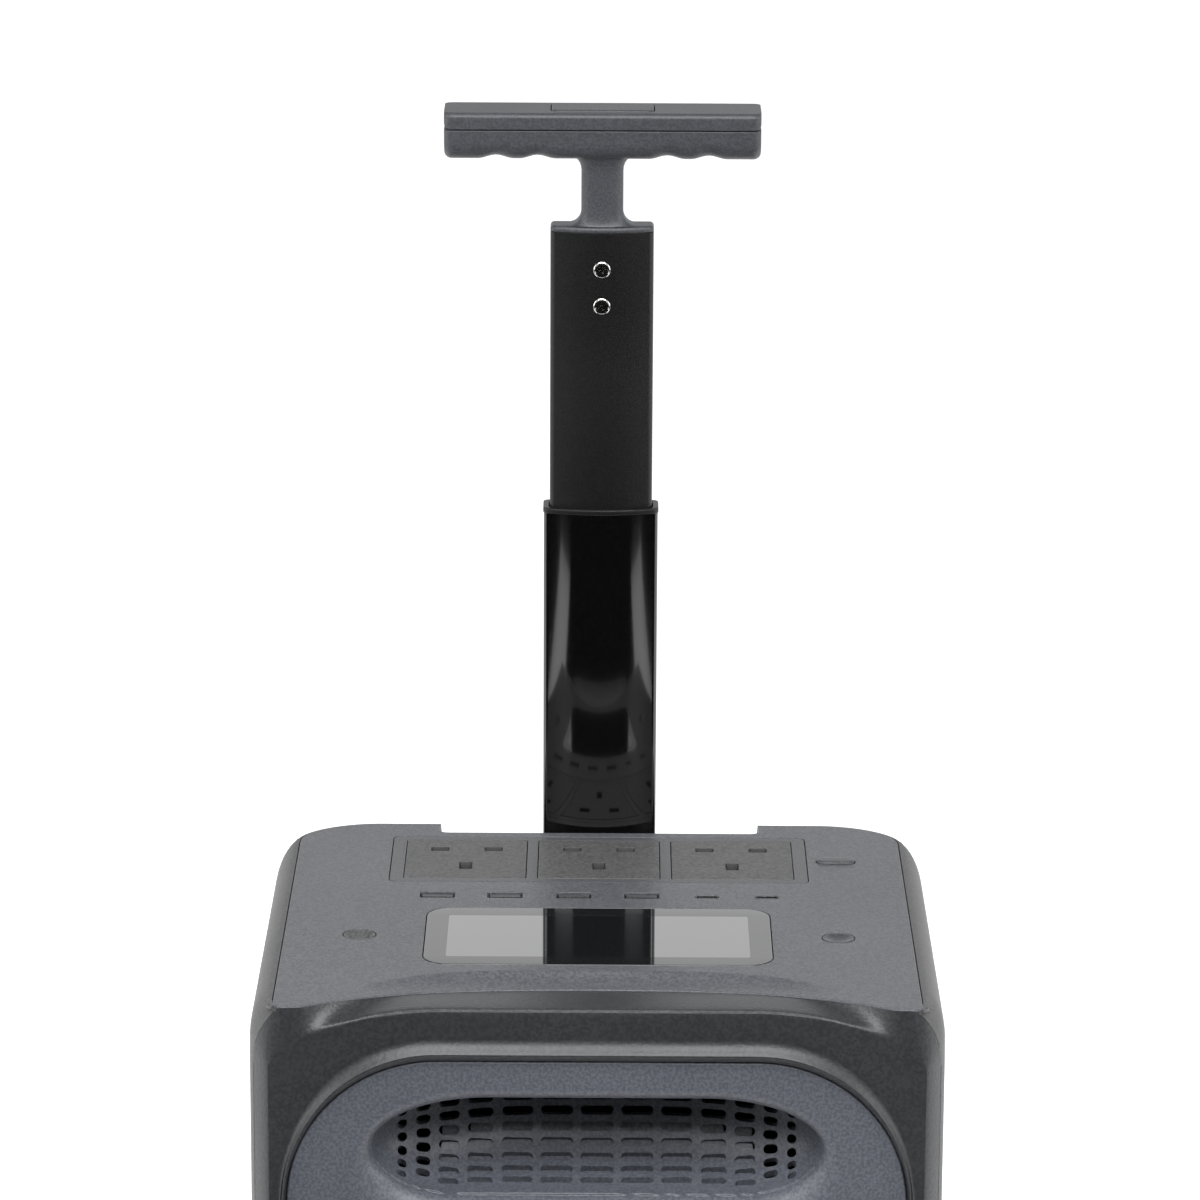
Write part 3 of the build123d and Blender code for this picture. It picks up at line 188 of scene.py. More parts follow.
def plate(name, outline, top, bottom, edge=0.3, segments=3, inset_bottom=False):
    """A flat piece with its top edge rounded, from a plan outline that is star-shaped about its middle."""
    loops = [[(x, y, bottom) for x, y in outline]]
    for step in range(segments + 1):
        a = math.radians(90 * step / segments)
        inset = offset_outline(outline, -edge * (1 - math.cos(a)))
        loops.append([(x, y, top - edge + edge * math.sin(a)) for x, y in inset])
    return tidy_normals(loft(name, loops), 50)


def offset_outline(outline, distance):
    """Move a closed outline outwards by a distance, along its own normals."""
    moved = []
    count = len(outline)
    for i in range(count):
        x0, y0 = outline[i - 1]
        x1, y1 = outline[(i + 1) % count]
        dx, dy = x1 - x0, y1 - y0
        length = math.hypot(dx, dy) or 1
        moved.append((outline[i][0] + dy / length * distance, outline[i][1] - dx / length * distance))
    return moved


def prism(name, outline, low, high, axis="z"):
    """A closed prism on an outline, along Z or Y."""
    if axis == "z":
        loops = [[(x, y, h) for x, y in outline] for h in (low, high)]
    elif axis == "y":
        loops = [[(x, h, z) for x, z in outline] for h in (high, low)]
    else:
        loops = [[(h, y, z) for y, z in outline] for h in (low, high)]
    return loft(name, loops)


def join(name, objects):
    """Merge several objects into one."""
    mesh = bmesh.new()
    for obj in objects:
        mesh.from_mesh(obj.data)
        data = obj.data
        bpy.data.objects.remove(obj)
        bpy.data.meshes.remove(data)
    merged = bpy.data.meshes.new(name)
    mesh.to_mesh(merged)
    mesh.free()
    obj = bpy.data.objects.new(name, merged)
    bpy.context.collection.objects.link(obj)
    return obj


def finish_piece(obj, body, material, slot, *nodes):
    """Name what a piece rides on, replaces and is made of."""
    obj.data.materials.clear()
    obj.data.materials.append(material)
    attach(obj, body)
    if nodes:
        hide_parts(*nodes)
    return obj


# ---------------------------------------------------------------- materials
def material(name, colour, rough, metallic=0.0, grain=0.0, grain_size=0.35, spread=0.08,
             rough_spread=0.05, coat=0.0, coat_rough=0.05, specular=0.5, ior=1.5, smudge=0.0):
    """Moulded or coated surface: colour drift, uneven gloss and a fine grain."""
    mat = bpy.data.materials.new(name)
    mat.use_nodes = True
    nodes, links = mat.node_tree.nodes, mat.node_tree.links
    shader = nodes["Principled BSDF"]
    shader.inputs["Metallic"].default_value = metallic
    shader.inputs["Coat Weight"].default_value = coat
    shader.inputs["Coat Roughness"].default_value = coat_rough
    shader.inputs["Specular IOR Level"].default_value = specular
    shader.inputs["IOR"].default_value = ior
    place = nodes.new("ShaderNodeTexCoord")
    drift = nodes.new("ShaderNodeTexNoise")
    drift.inputs["Scale"].default_value = 9
    drift.inputs["Detail"].default_value = 5
    links.new(place.outputs["Object"], drift.inputs["Vector"])
    tint = nodes.new("ShaderNodeValToRGB")
    tint.color_ramp.elements[0].position = 0.3
    tint.color_ramp.elements[1].position = 0.7
    for element, factor in zip(tint.color_ramp.elements, (1 - spread, 1 + spread)):
        element.color = [min(1, c * factor) for c in colour] + [1]
    links.new(drift.outputs["Fac"], tint.inputs["Fac"])
    speck = nodes.new("ShaderNodeTexNoise")
    speck.inputs["Scale"].default_value = 1 / (grain_size * MM * 3)
    speck.inputs["Detail"].default_value = 3
    links.new(place.outputs["Object"], speck.inputs["Vector"])
    fleck = nodes.new("ShaderNodeMix")
    fleck.data_type = "RGBA"
    fleck.blend_type = "MULTIPLY"
    fleck.inputs["Factor"].default_value = 0.8
    shade = nodes.new("ShaderNodeValToRGB")
    shade.color_ramp.elements[0].position = 0.4
    shade.color_ramp.elements[0].color = (0.55, 0.55, 0.55, 1)
    shade.color_ramp.elements[1].position = 0.6
    links.new(speck.outputs["Fac"], shade.inputs["Fac"])
    links.new(tint.outputs["Color"], fleck.inputs["A"])
    links.new(shade.outputs["Color"], fleck.inputs["B"])
    links.new(fleck.outputs["Result"], shader.inputs["Base Color"])
    gloss = nodes.new("ShaderNodeMapRange")
    gloss.inputs["From Min"].default_value = 0.3
    gloss.inputs["From Max"].default_value = 0.7
    gloss.inputs["To Min"].default_value = max(0.02, rough - rough_spread)
    gloss.inputs["To Max"].default_value = rough + rough_spread + smudge
    links.new(drift.outputs["Fac"], gloss.inputs["Value"])
    links.new(gloss.outputs["Result"], shader.inputs["Roughness"])
    if grain > 0:
        bump = nodes.new("ShaderNodeBump")
        bump.inputs["Strength"].default_value = grain
        bump.inputs["Distance"].default_value = 0.16 * MM
        links.new(speck.outputs["Fac"], bump.inputs["Height"])
        links.new(bump.outputs["Normal"], shader.inputs["Normal"])
    return mat


PANEL = material("panel_plastic", (0.087, 0.090, 0.100), 0.42, grain=0.5, grain_size=0.4)
GRILLE = material("grille_plastic", (0.094, 0.101, 0.121), 0.42, grain=0.6, grain_size=0.4)
CASE = material("case_plastic", (0.027, 0.029, 0.032), 0.41, grain=0.8, grain_size=0.45)
SIDE = material("side_plastic", (0.07, 0.07, 0.072), 0.45, grain=0.45)
GRIP = material("grip_plastic", (0.050, 0.054, 0.061), 0.48, grain=0.5, grain_size=0.3)
SOCKET = material("socket_plastic", (0.078, 0.078, 0.079), 0.5, grain=0.9, grain_size=0.5)
FRAME_PLASTIC = material("socket_frame_plastic", (0.075, 0.077, 0.084), 0.42, grain=0.35)
# Near-black: dark plastic on the wheel liners and handle sleeve, and painted shade where it lines the sockets' pin
# holes.
DARK_AND_HOLE_SHADE = material("dark_plastic_and_hole_shade", (0.012, 0.012, 0.013), 0.6, grain=0.2)
BUTTON = material("button_plastic", (0.06, 0.063, 0.07), 0.4, grain=0.2)
GLASS = material("display_glass", (0.012, 0.0125, 0.014), 0.03, coat=0.6, coat_rough=0.02, rough_spread=0.01)
LCD = material("display_lcd", (0.010, 0.011, 0.012), 0.03, coat=1.0, coat_rough=0.02, ior=2.4, rough_spread=0.01)
TUBE_GLOSS = material("tube_gloss", (0.003, 0.003, 0.0032), 0.08, coat=0.5, coat_rough=0.03, rough_spread=0.02)
TUBE_SATIN = material("tube_satin", (0.006, 0.006, 0.0062), 0.38, grain=0.5, grain_size=0.25, specular=0.35)
CHROME = material("chrome", (0.62, 0.61, 0.60), 0.16, metallic=1.0)
PORT_METAL = material("port_metal", (0.16, 0.16, 0.165), 0.35, metallic=1.0)
STEEL = material("steel", (0.42, 0.42, 0.43), 0.32, metallic=1.0)
GOLD = material("contact_gold", (0.75, 0.55, 0.25), 0.25, metallic=1.0)
ALUMINIUM = material("aluminium", (0.6, 0.6, 0.62), 0.35, metallic=1.0, grain=0.2)
RUBBER = material("tyre_rubber", (0.018, 0.018, 0.018), 0.75, grain=0.7, grain_size=0.5)
HUB = material("hub_plastic", (0.05, 0.052, 0.056), 0.45, grain=0.4)
BOARD = material("circuit_board", (0.012, 0.09, 0.035), 0.4)
CELL = material("cell_wrap", (0.03, 0.11, 0.32), 0.35)
SEAM = material("seam_shadow", (0.004, 0.004, 0.004), 0.8)


# ---------------------------------------------------------------- outlines and heights of the case
PANEL_HALF_W = 125.0
SHOULDER_Y = 102.0
NOTCH_HALF_W = 67.0
NOTCH_Y = 90.8
NOTCH_DEPTH = 53.0
PANEL_T = 4.0
EDGE_R = 0.5
COVE_HALF_W = 90.0
COVE_DEPTH = 3.4
VIEW_SLOPE = 2.97                  # run per unit fall of a sight line over the panel
CORNER_R = 16.0                    # upright front edges
FACE_HALF_W = 125.2                # flat part of the front face
SIDE_SEAM_X = 132.6
SIDE_SEAM_Y = -121.5
ARCH_FLAT = 60.0                   # flat middle of the brow's arch
ARCH_R = 133.0
SEAM_ARC_R = 34.0
CREASE_R = 2.6                     # rounding between the brow and the flat face
SEAM_ARC_Z = -24.6
RIM_DROP = 16.0
RING_HALF_W = 120.0
RING_R = 58.4
RING_TOP = -21.7
RING_BOTTOM = -138.7
RING_MID_Z = (RING_TOP + RING_BOTTOM) / 2
RING_HALF_H = (RING_TOP - RING_BOTTOM) / 2


def cove_depth(x):
    """Fall of the panel's front edge in the finger scoop."""
    return COVE_DEPTH * max(0.0, 1 - (x / COVE_HALF_W) ** 2) ** 0.8


def panel_front(x):
    """Y of the panel's bowed front edge."""
    ax = abs(x)
    bow = -107.5 - 6.78e-4 * ax ** 2 - 7.1e-8 * ax ** 4
    return max(bow, FRONT_Y + 1.0 + 0.06 * (PANEL_HALF_W - ax)) + VIEW_SLOPE * cove_depth(x)


def cove_start(x):
    """Y where the scoop leaves the flat panel."""
    return -85 - 9.7 * (abs(x) / 77) ** 4 - 0.6 * abs(x) / 58


def panel_height(x, y):
    """Height of the panel's top, from the panel plane."""
    if abs(x) >= COVE_HALF_W:
        return 0.0
    start, end = cove_start(x), panel_front(x)
    if y >= start or end >= start:
        return 0.0
    t = min(1.0, (start - y) / (start - end))
    return -cove_depth(x) * (1 - (1 - t) ** 3)


def arch_height(x):
    """Height of the brow's front crease."""
    over = max(0.0, abs(x) - ARCH_FLAT)
    return -0.3 - (ARCH_R - math.sqrt(ARCH_R ** 2 - over ** 2))


def lerp(a, b, t):
    return a + (b - a) * t


def smooth_step(t):
    t = min(1.0, max(0.0, t))
    return t * t * (3 - 2 * t)


def bezier(p0, p1, p2, t):
    """Point on a quadratic curve."""
    return tuple(lerp(lerp(a, b, t), lerp(b, c, t), t) for a, b, c in zip(p0, p1, p2))


def put(point):
    """From panel height to the CAD frame."""
    return (point[0], point[1], point[2] + PANEL_Z)


# ---------------------------------------------------------------- control panel
def ring_rows(mesh, loop, rows, closed=True):
    """Add rows of vertices below a loop of vertices and bridge them. Each row is a function of an index."""
    count = len(loop)
    previous = loop
    for row in rows:
        current = [mesh.verts.new(Vector(row(i)) * MM) for i in range(count)]
        for i in range(count if closed else count - 1):
            j = (i + 1) % count
            mesh.faces.new((previous[i], previous[j], current[j], current[i]))
        previous = current
    return previous


def inside(point, polygon):
    """Whether a point in the plane lies in a polygon."""
    x, y = point
    crossings = False
    for (x0, y0), (x1, y1) in zip(polygon, polygon[1:] + polygon[:1]):
        if (y0 > y) != (y1 > y) and x < (x1 - x0) * (y - y0) / (y1 - y0) + x0:
            crossings = not crossings
    return crossings


def fill_between(mesh, loops):
    """Flat triangulated face bounded by an outer loop and holes."""
    corners = [vert for loop in loops for vert in loop]
    spans = [max(v.co[k] for v in corners) - min(v.co[k] for v in corners) for k in range(3)]
    axes = sorted(sorted(range(3), key=lambda k: spans[k])[1:])
    polygons = [[(v.co[axes[0]] / MM, v.co[axes[1]] / MM) for v in loop] for loop in loops]
    points = [Vector(p) for polygon in polygons for p in polygon]
    borders = []
    start = 0
    for loop in loops:
        borders += [(start + i, start + (i + 1) % len(loop)) for i in range(len(loop))]
        start += len(loop)
    flat, _, triangles, sources, _, _ = delaunay_2d_cdt(points, borders, [], 0, 1e-5)
    for triangle in triangles:
        middle = sum((flat[i] for i in triangle), Vector((0, 0))) / 3
        if inside(middle, polygons[0]) and not any(inside(middle, hole) for hole in polygons[1:]):
            face = {corners[sources[i][0]] for i in triangle}
            if len(face) == 3:
                mesh.faces.new([corners[sources[i][0]] for i in triangle])


def edge_rows(outline, z_of, radius, bottom, outward):
    """Row functions for a rounded edge that turns down to a wall."""
    rows = []
    for step in range(1, 4):
        a = math.radians(30 * step)
        out = offset_outline(outline, outward * radius * math.sin(a))
        drop = radius * (1 - math.cos(a))
        rows.append(lambda i, out=out, drop=drop: (out[i][0], out[i][1], z_of(i) - drop))
    wall = offset_outline(outline, outward * radius)
    rows.append(lambda i: (wall[i][0], wall[i][1], bottom))
    return rows


def holed_plate(name, outline, holes, top, bottom, radius=EDGE_R, hole_radius=0.3, strip=None):
    """Plate with rounded edges round its outline and its holes. Outlines run anticlockwise."""
    mesh = bmesh.new()
    inner = offset_outline(outline, -radius)
    rim = [mesh.verts.new(Vector((x, y, top)) * MM) for x, y in inner]
    hole_rims = []
    bottoms = [ring_rows(mesh, rim, edge_rows(inner, lambda i: top, radius, bottom, 1))]
    for hole in holes:
        wide = offset_outline(hole, hole_radius)
        loop = [mesh.verts.new(Vector((x, y, top)) * MM) for x, y in wide]
        hole_rims.append(loop)
        bottoms.append(ring_rows(mesh, loop, edge_rows(wide, lambda i: top, hole_radius, bottom, -1)))
    fill_between(mesh, [rim] + hole_rims)
    fill_between(mesh, bottoms)
    data = bpy.data.meshes.new(name)
    mesh.to_mesh(data)
    mesh.free()
    obj = bpy.data.objects.new(name, data)
    bpy.context.collection.objects.link(obj)
    return tidy_normals(obj, 50)


def panel_side_points():
    """Right-hand boundary of the panel, from the cove strip's side round to the notch's middle."""
    points = []
    for step in range(13):
        a = math.radians(90 * step / 12)
        points.append((PANEL_HALF_W - 34 + 34 * math.cos(a), SHOULDER_Y - 24 + 24 * math.sin(a)))
    points.append((NOTCH_HALF_W + 1.2, SHOULDER_Y))
    points.append((NOTCH_HALF_W + 0.4, SHOULDER_Y - 0.4))
    points.append((NOTCH_HALF_W, SHOULDER_Y - 1.4))
    for step in range(7):
        a = math.radians(90 * step / 6)
        points.append((NOTCH_HALF_W - 3.5 * (1 - math.cos(a)), NOTCH_Y + 3.5 * (1 - math.sin(a))))
    return points


def build_panel():
    """Control panel: flat with holes, and a scooped, bowed front strip."""
    strip_y = -79.0
    strip_rows = 26
    columns = 90
    reach = PANEL_HALF_W - EDGE_R
    corner = 2.0
    xs = [reach * math.sin(math.radians(90) * (2 * i / columns - 1)) * 0.35
          + reach * (2 * i / columns - 1) * 0.65 for i in range(columns + 1)]

    def front_at(x):
        over = max(0.0, abs(x) - (reach - corner))
        return panel_front(x) + EDGE_R + corner - math.sqrt(max(0.0, corner ** 2 - over ** 2))

    mesh = bmesh.new()
    grid = []
    for j in range(strip_rows + 1):
        row = []
        for x in xs:
            y = lerp(strip_y, front_at(x), j / strip_rows)
            row.append(mesh.verts.new(Vector(put((x, y, panel_height(x, y)))) * MM))
        grid.append(row)
    for j in range(strip_rows):
        for i in range(columns):
            mesh.faces.new((grid[j][i], grid[j + 1][i], grid[j + 1][i + 1], grid[j][i + 1]))
    right = panel_side_points()
    rear = right + [(-x, y) for x, y in reversed(right)]
    outline = [(reach + EDGE_R, strip_y)] + rear + [(-reach - EDGE_R, strip_y)]
    inset = offset_outline(outline, -EDGE_R)[1:-1]
    rear_loop = [mesh.verts.new(Vector(put((x, y, 0))) * MM) for x, y in inset]
    flat_loop = grid[0] + rear_loop
    rim = grid[-1] + [grid[j][-1] for j in range(strip_rows - 1, -1, -1)] + rear_loop
    rim += [grid[j][0] for j in range(strip_rows)]
    rim_xy = [(v.co.x / MM, v.co.y / MM) for v in rim]
    rim_z = [v.co.z / MM for v in rim]
    bottom = PANEL_Z - PANEL_T
    bottoms = [ring_rows(mesh, rim, edge_rows(rim_xy, lambda i: rim_z[i], EDGE_R, bottom, 1))]
    hole_loops = []
    for hole, radius in panel_holes():
        wide = offset_outline(hole, radius)
        loop = [mesh.verts.new(Vector((x, y, PANEL_Z)) * MM) for x, y in wide]
        hole_loops.append(loop)
        bottoms.append(ring_rows(mesh, loop, edge_rows(wide, lambda i: PANEL_Z, radius, bottom, -1)))
    fill_between(mesh, [flat_loop] + hole_loops)
    fill_between(mesh, bottoms)
    data = bpy.data.meshes.new("control_panel")
    mesh.to_mesh(data)
    mesh.free()
    obj = bpy.data.objects.new("control_panel", data)
    bpy.context.collection.objects.link(obj)
    tidy_normals(obj, 42)
    weighted(obj)
    finish_piece(obj, "case", PANEL, "panel_plastic", "top_panel")


SOCKET_FRAME = (86.0, 30.0, (0, 55.0))
GLASS_BOX = (69.0, 34.75, (0, -43.05))
USB_A_X = (-65.5, -38.0, -10.0, 17.5)
USB_C_X = (44.0, 68.4)
USB_A_Y = 8.0
USB_C_Y = 6.6
PILL = (98.0, 53.5)
ROUND_BUTTONS = ((-95.0, -42.3, 6.45), (95.5, -43.8, 6.4))


def panel_holes():
    """Outlines of the panel's holes with the rounding of each edge."""
    half_w, half_l, centre = SOCKET_FRAME
    holes = [(rounded_rect(half_w + 0.15, half_l + 0.15, 3, 4, centre), 0.25)]
    half_w, half_l, centre = GLASS_BOX
    holes.append((rounded_rect(half_w + 0.15, half_l + 0.15, 10, 10, centre), 0.25))
    for x in USB_A_X:
        holes.append((rounded_rect(7.1, 3.6, 0.6, 3, (x, USB_A_Y)), 0.35))
    for x in USB_C_X:
        holes.append((rounded_rect(4.9, 2.4, 2.35, 6, (x, USB_C_Y)), 0.3))
    holes.append((rounded_rect(8.25, 3.95, 3.9, 8, PILL), 0.3))
    for x, y, radius in ROUND_BUTTONS:
        holes.append((rounded_rect(radius + 0.3, radius + 0.3, radius + 0.3, 12, (x, y)), 0.3))
    return holes


# ---------------------------------------------------------------- front shell
def seam_point(s):
    """Outer boundary of the front shell's left half, from the foot of the side seam (0) to the middle (1)."""
    if s < 0.35:
        return (-SIDE_SEAM_X, SIDE_SEAM_Y, lerp(BASE_SEAM - PANEL_Z, SEAM_ARC_Z, (s / 0.35) ** 0.6))
    if s < 0.55:
        a = math.radians(45) * (s - 0.35) / 0.2
        lift = (s - 0.35) / 0.2
        return (-SIDE_SEAM_X + SEAM_ARC_R * (1 - math.cos(a)),
                lerp(SIDE_SEAM_Y, FRONT_Y + 1.2, smooth_step(lift) * 0.6 + lift * 0.4),
                SEAM_ARC_Z + SEAM_ARC_R * math.sin(a))
    x = face_point(s)[0]
    settle = smooth_step((s - 0.55) / 0.06)
    return (x, panel_front(x) - 0.25, lerp(SEAM_ARC_Z + SEAM_ARC_R * math.sin(math.radians(45)),
                                           -cove_depth(x) - 0.5, settle))


def face_point(s):
    """Where the front shell's border band meets the flat front face."""
    side, turn_x, turn_z = -FACE_HALF_W, -118.5, -23.0
    if s < 0.35:
        return (side, FRONT_Y, seam_point(s)[2])
    if s < 0.45:
        return (side, FRONT_Y, lerp(SEAM_ARC_Z, turn_z, (s - 0.35) / 0.1))
    if s < 0.6:
        slope = (arch_height(turn_x + 0.1) - arch_height(turn_x - 0.1)) / 0.2
        peak = arch_height(turn_x) + slope * (side - turn_x)
        x, z = bezier((side, turn_z), (side, peak), (turn_x, arch_height(turn_x)), (s - 0.45) / 0.15)
        return (x, FRONT_Y, z)
    x = lerp(turn_x, 0, (s - 0.6) / 0.4)
    return (x, FRONT_Y, arch_height(x))


def band_point(s, v):
    """Point of the border band, from the seam (v 0) to the flat face (v 1)."""
    b, f = seam_point(s), face_point(s)
    upright = (-128.05, FRONT_Y, b[2])
    middle = (lerp(b[0], f[0], 0.5), lerp(b[1], f[1], 0.6), lerp(b[2], f[2], 0.5))
    brow = (lerp(b[0], f[0], 0.3), lerp(b[1], f[1], 0.22), lerp(b[2], f[2], 0.78))
    if s < 0.35:
        control = upright
    elif s < 0.55:
        t = smooth_step((s - 0.35) / 0.2)
        start = (upright[0], upright[1], lerp(b[2], f[2], 0.5))
        control = tuple(lerp(p, q, t) for p, q in zip(start, middle))
    else:
        t = smooth_step((s - 0.55) / 0.2)
        control = tuple(lerp(p, q, t) for p, q in zip(middle, brow))
    return bezier(b, control, f, v)


def inward(s):
    """Direction from the band into the flat face, in the plane of the face."""
    a, b = face_point(min(1, s + 0.004)), face_point(max(0, s - 0.004))
    dx, dz = a[0] - b[0], a[2] - b[2]
    length = math.hypot(dx, dz) or 1
    return dz / length, -dx / length


def build_front_shell():
    samples = 150
    rows = 12
    left = []
    for i in range(samples + 1):
        s = i / samples
        column = [band_point(s, v / rows) for v in range(rows - 1)]
        tail = band_point(s, 1 - 0.5 / rows)
        f = face_point(s)
        crease_r = min(CREASE_R, 0.13 * math.dist(seam_point(s), f))
        back = Vector(tail) - Vector(f)
        back.normalize()
        dx, dz = inward(s)
        start = Vector(f) + back * crease_r
        end = Vector(f) + Vector((dx, 0, dz)) * crease_r
        for step in range(4):
            column.append(bezier(start, f, end, step / 3))
        left.append(column)
    columns = left + [[(-x, y, z) for x, y, z in column] for column in reversed(left[:-1])]
    depth = len(columns[0])
    mesh = bmesh.new()
    grid = [[mesh.verts.new(Vector(put(p)) * MM) for p in column] for column in columns]
    for i in range(len(columns) - 1):
        for j in range(depth - 1):
            mesh.faces.new((grid[i][j], grid[i + 1][j], grid[i + 1][j + 1], grid[i][j + 1]))
    outer = [column[-1] for column in grid]
    bead = bead_profile()
    base, normals = ring_outline(0.0), []
    for (x0, z0), (x1, z1) in zip(base, ring_outline(1.0)):
        normals.append((x1 - x0, z1 - z0))
    narrow = [lerp(1.0, BEAD_SIDE_SHARE, abs(nx) ** 2.5) for nx, nz in normals]

    def bead_point(i, out, rise):
        reach = out * narrow[i] if rise >= 0 else out
        return (base[i][0] + normals[i][0] * reach, FRONT_Y - rise * lerp(0.6, 1, narrow[i]), base[i][1] + normals[i][1] * reach)

    first = [mesh.verts.new(Vector(bead_point(i, *bead[0])) * MM) for i in range(len(base))]
    rows_of = [lambda i, out=out, rise=rise: bead_point(i, out, rise) for out, rise in bead[1:]]
    ring_rows(mesh, first, rows_of)
    fill_between(mesh, [outer, first])
    data = bpy.data.meshes.new("front_cover")
    mesh.to_mesh(data)
    mesh.free()
    obj = bpy.data.objects.new("front_cover", data)
    bpy.context.collection.objects.link(obj)
    tidy_normals(obj, 30)
    orient(obj, (0, -1, 0))
    thicken(obj, 1.6)
    tidy_normals(obj, 30)
    weighted(obj)
    finish_piece(obj, "case", CASE, "case_plastic", "front_shell")


def orient(obj, outward):
    """Flip the faces if most of their area looks away from a direction."""
    towards = sum(p.area * p.normal.dot(Vector(outward)) for p in obj.data.polygons)
    if towards < 0:
        obj.data.flip_normals()


BEAD_SIDE_SHARE = 0.32


def bead_profile():
    """Section of the raised bead: distance outside the ring, and height proud of the face."""
    points = [(9.6, 0.0), (8.4, 0.2), (7.3, 0.65), (6.3, 1.25), (5.4, 1.95), (4.6, 2.65), (4.0, 3.0), (3.4, 3.0),
              (2.8, 2.6), (2.2, 1.9), (1.5, 1.05), (0.9, 0.35), (0.5, -0.3), (0.35, -0.8), (0.35, -3.5)]
    return points


def ring_outline(grow):
    """Outline of the ring insert in X and Z, anticlockwise."""
    return [(x, z + PANEL_Z + RING_MID_Z) for x, z in
            rounded_rect(RING_HALF_W + grow, RING_HALF_H + grow, RING_R + grow, 40)]


# ---------------------------------------------------------------- side covers, rear shell and base
REAR_CORNER = (38.0, 60.0)         # half-axes of the case's rear corners in plan
SIDE_START_Y = -106.0
REAR_RIM_START = math.radians(32)  # slope of the rear rim where it leaves the panel
WHEEL_LOW, WHEEL_HIGH = box_mm("tyre_right")
WHEEL_R = (WHEEL_HIGH.z - WHEEL_LOW.z) / 2
AXLE_Y = (WHEEL_HIGH.y + WHEEL_LOW.y) / 2
AXLE_Z = (WHEEL_HIGH.z + WHEEL_LOW.z) / 2
WELL_R = WHEEL_R + 5


def body_half_width(y):
    """Half width of the case in plan."""
    a, b = REAR_CORNER
    over = (y - (REAR_Y - b)) / b
    return HALF_W if over <= 0 else HALF_W - a + a * math.sqrt(max(0.0, 1 - over ** 2))


def rim_pair(u):
    """Left half of the rim: matching points on the panel's edge and on the case's outer outline.

    u runs from the front of the straight side (0), round the rear corner (0.4 to 0.8), to the middle of the back (1)."""
    a, b = REAR_CORNER
    gap = 0.35
    if u < 0.4:
        t = u / 0.4
        return ((-PANEL_HALF_W - gap, lerp(SIDE_START_Y, SHOULDER_Y - 24, t)),
                (-HALF_W, lerp(SIDE_START_Y, REAR_Y - b, t)))
    if u < 0.8:
        angle = math.radians(90) * (u - 0.4) / 0.4
        return ((-(PANEL_HALF_W - 34) - (34 + gap) * math.cos(angle), SHOULDER_Y - 24 + (24 + gap) * math.sin(angle)),
                (-(HALF_W - a) - a * math.cos(angle), REAR_Y - b + b * math.sin(angle)))
    t = (u - 0.8) / 0.2
    return ((lerp(-(PANEL_HALF_W - 34), 0, t), SHOULDER_Y + gap), (lerp(-(HALF_W - a), 0, t), REAR_Y))


def rim_heights():
    """Drop and spread of each row from the panel's edge down to the base seam."""
    rows = [(0.0, -2.2), (0.0, -0.35)]
    for step in range(1, 11):
        a = math.radians(9 * step)
        rows.append((math.sin(a), -RIM_DROP * (1 - math.cos(a))))
    rows += [(1.0, z) for z in (-26, -40, -60, -90, -130, -180, -240, -300, -350)]
    rows.append((1.0, BASE_SEAM + 0.2 - PANEL_Z))
    return rows


def rim_point(u, spread, drop):
    """Point of the rim's skin. The rear part leaves the panel's edge at a steeper slope."""
    inner, outer = rim_pair(u)
    steep = smooth_step((u - 0.4) / 0.35)
    if 0 < spread < 1:
        a = math.asin(spread)
        start = REAR_RIM_START * steep
        b = start + a * (math.radians(90) - start) / math.radians(90)
        spread = (math.sin(b) - math.sin(start)) / (1 - math.sin(start))
        drop = -RIM_DROP * (math.cos(start) - math.cos(b)) / math.cos(start)
    return (lerp(inner[0], outer[0], spread), lerp(inner[1], outer[1], spread), drop)


def rear_rim_drop(y):
    """Fall of the rear rim below the panel at a given Y on the back."""
    spread = min(1.0, max(0.0, (y - SHOULDER_Y) / (REAR_Y - SHOULDER_Y)))
    sine = math.sin(REAR_RIM_START) + (1 - math.sin(REAR_RIM_START)) * spread
    return -RIM_DROP * (math.cos(REAR_RIM_START) - math.sqrt(max(0.0, 1 - sine ** 2))) / math.cos(REAR_RIM_START)


def front_run(spread, drop):
    """Row of points from the straight side round to the front shell's seam."""
    x = lerp(-PANEL_HALF_W - 0.35, -HALF_W, spread)
    if drop > SEAM_ARC_Z:
        lift = min(1.0, (drop - SEAM_ARC_Z) / (SEAM_ARC_R * math.sin(math.radians(45))))
        a = math.asin(min(1.0, (drop - SEAM_ARC_Z) / SEAM_ARC_R))
        a = min(a, math.radians(45))
        s = 0.35 + 0.2 * a / math.radians(45)
        end = seam_point(min(s, 0.5499))
        end = (end[0], end[1], drop)
    else:
        end = (-SIDE_SEAM_X, SIDE_SEAM_Y, drop)
    reach = abs(x - end[0])
    control_y = end[1] + reach * 1.87
    start_y = control_y + (control_y - end[1]) * 1.1
    points = [(x, y, drop) for y in (SIDE_START_Y, lerp(SIDE_START_Y, start_y, 0.5))] if start_y < SIDE_START_Y else []
    start_y = min(start_y, SIDE_START_Y)
    steps = 14
    for step in range(steps):
        points.append(bezier((x, start_y, drop), (x, control_y, drop), (end[0] - 0.15, end[1] + 0.3, drop), step / (steps - 1)))
    while len(points) < steps + 2:
        points.insert(0, (x, SIDE_START_Y, drop))
    return points


def wheel_cutter(grow=0.0):
    """Two short drums where the wheels go."""
    drums = []
    for side in (-1, 1):
        points = [(AXLE_Y + (WELL_R + grow) * math.cos(math.radians(i * 5)),
                   AXLE_Z + (WELL_R + grow) * math.sin(math.radians(i * 5))) for i in range(72)]
        low, high = sorted((side * 98.0, side * 150.0))
        drums.append(prism("drum", points, low, high, "x"))
    return join("drums", drums)


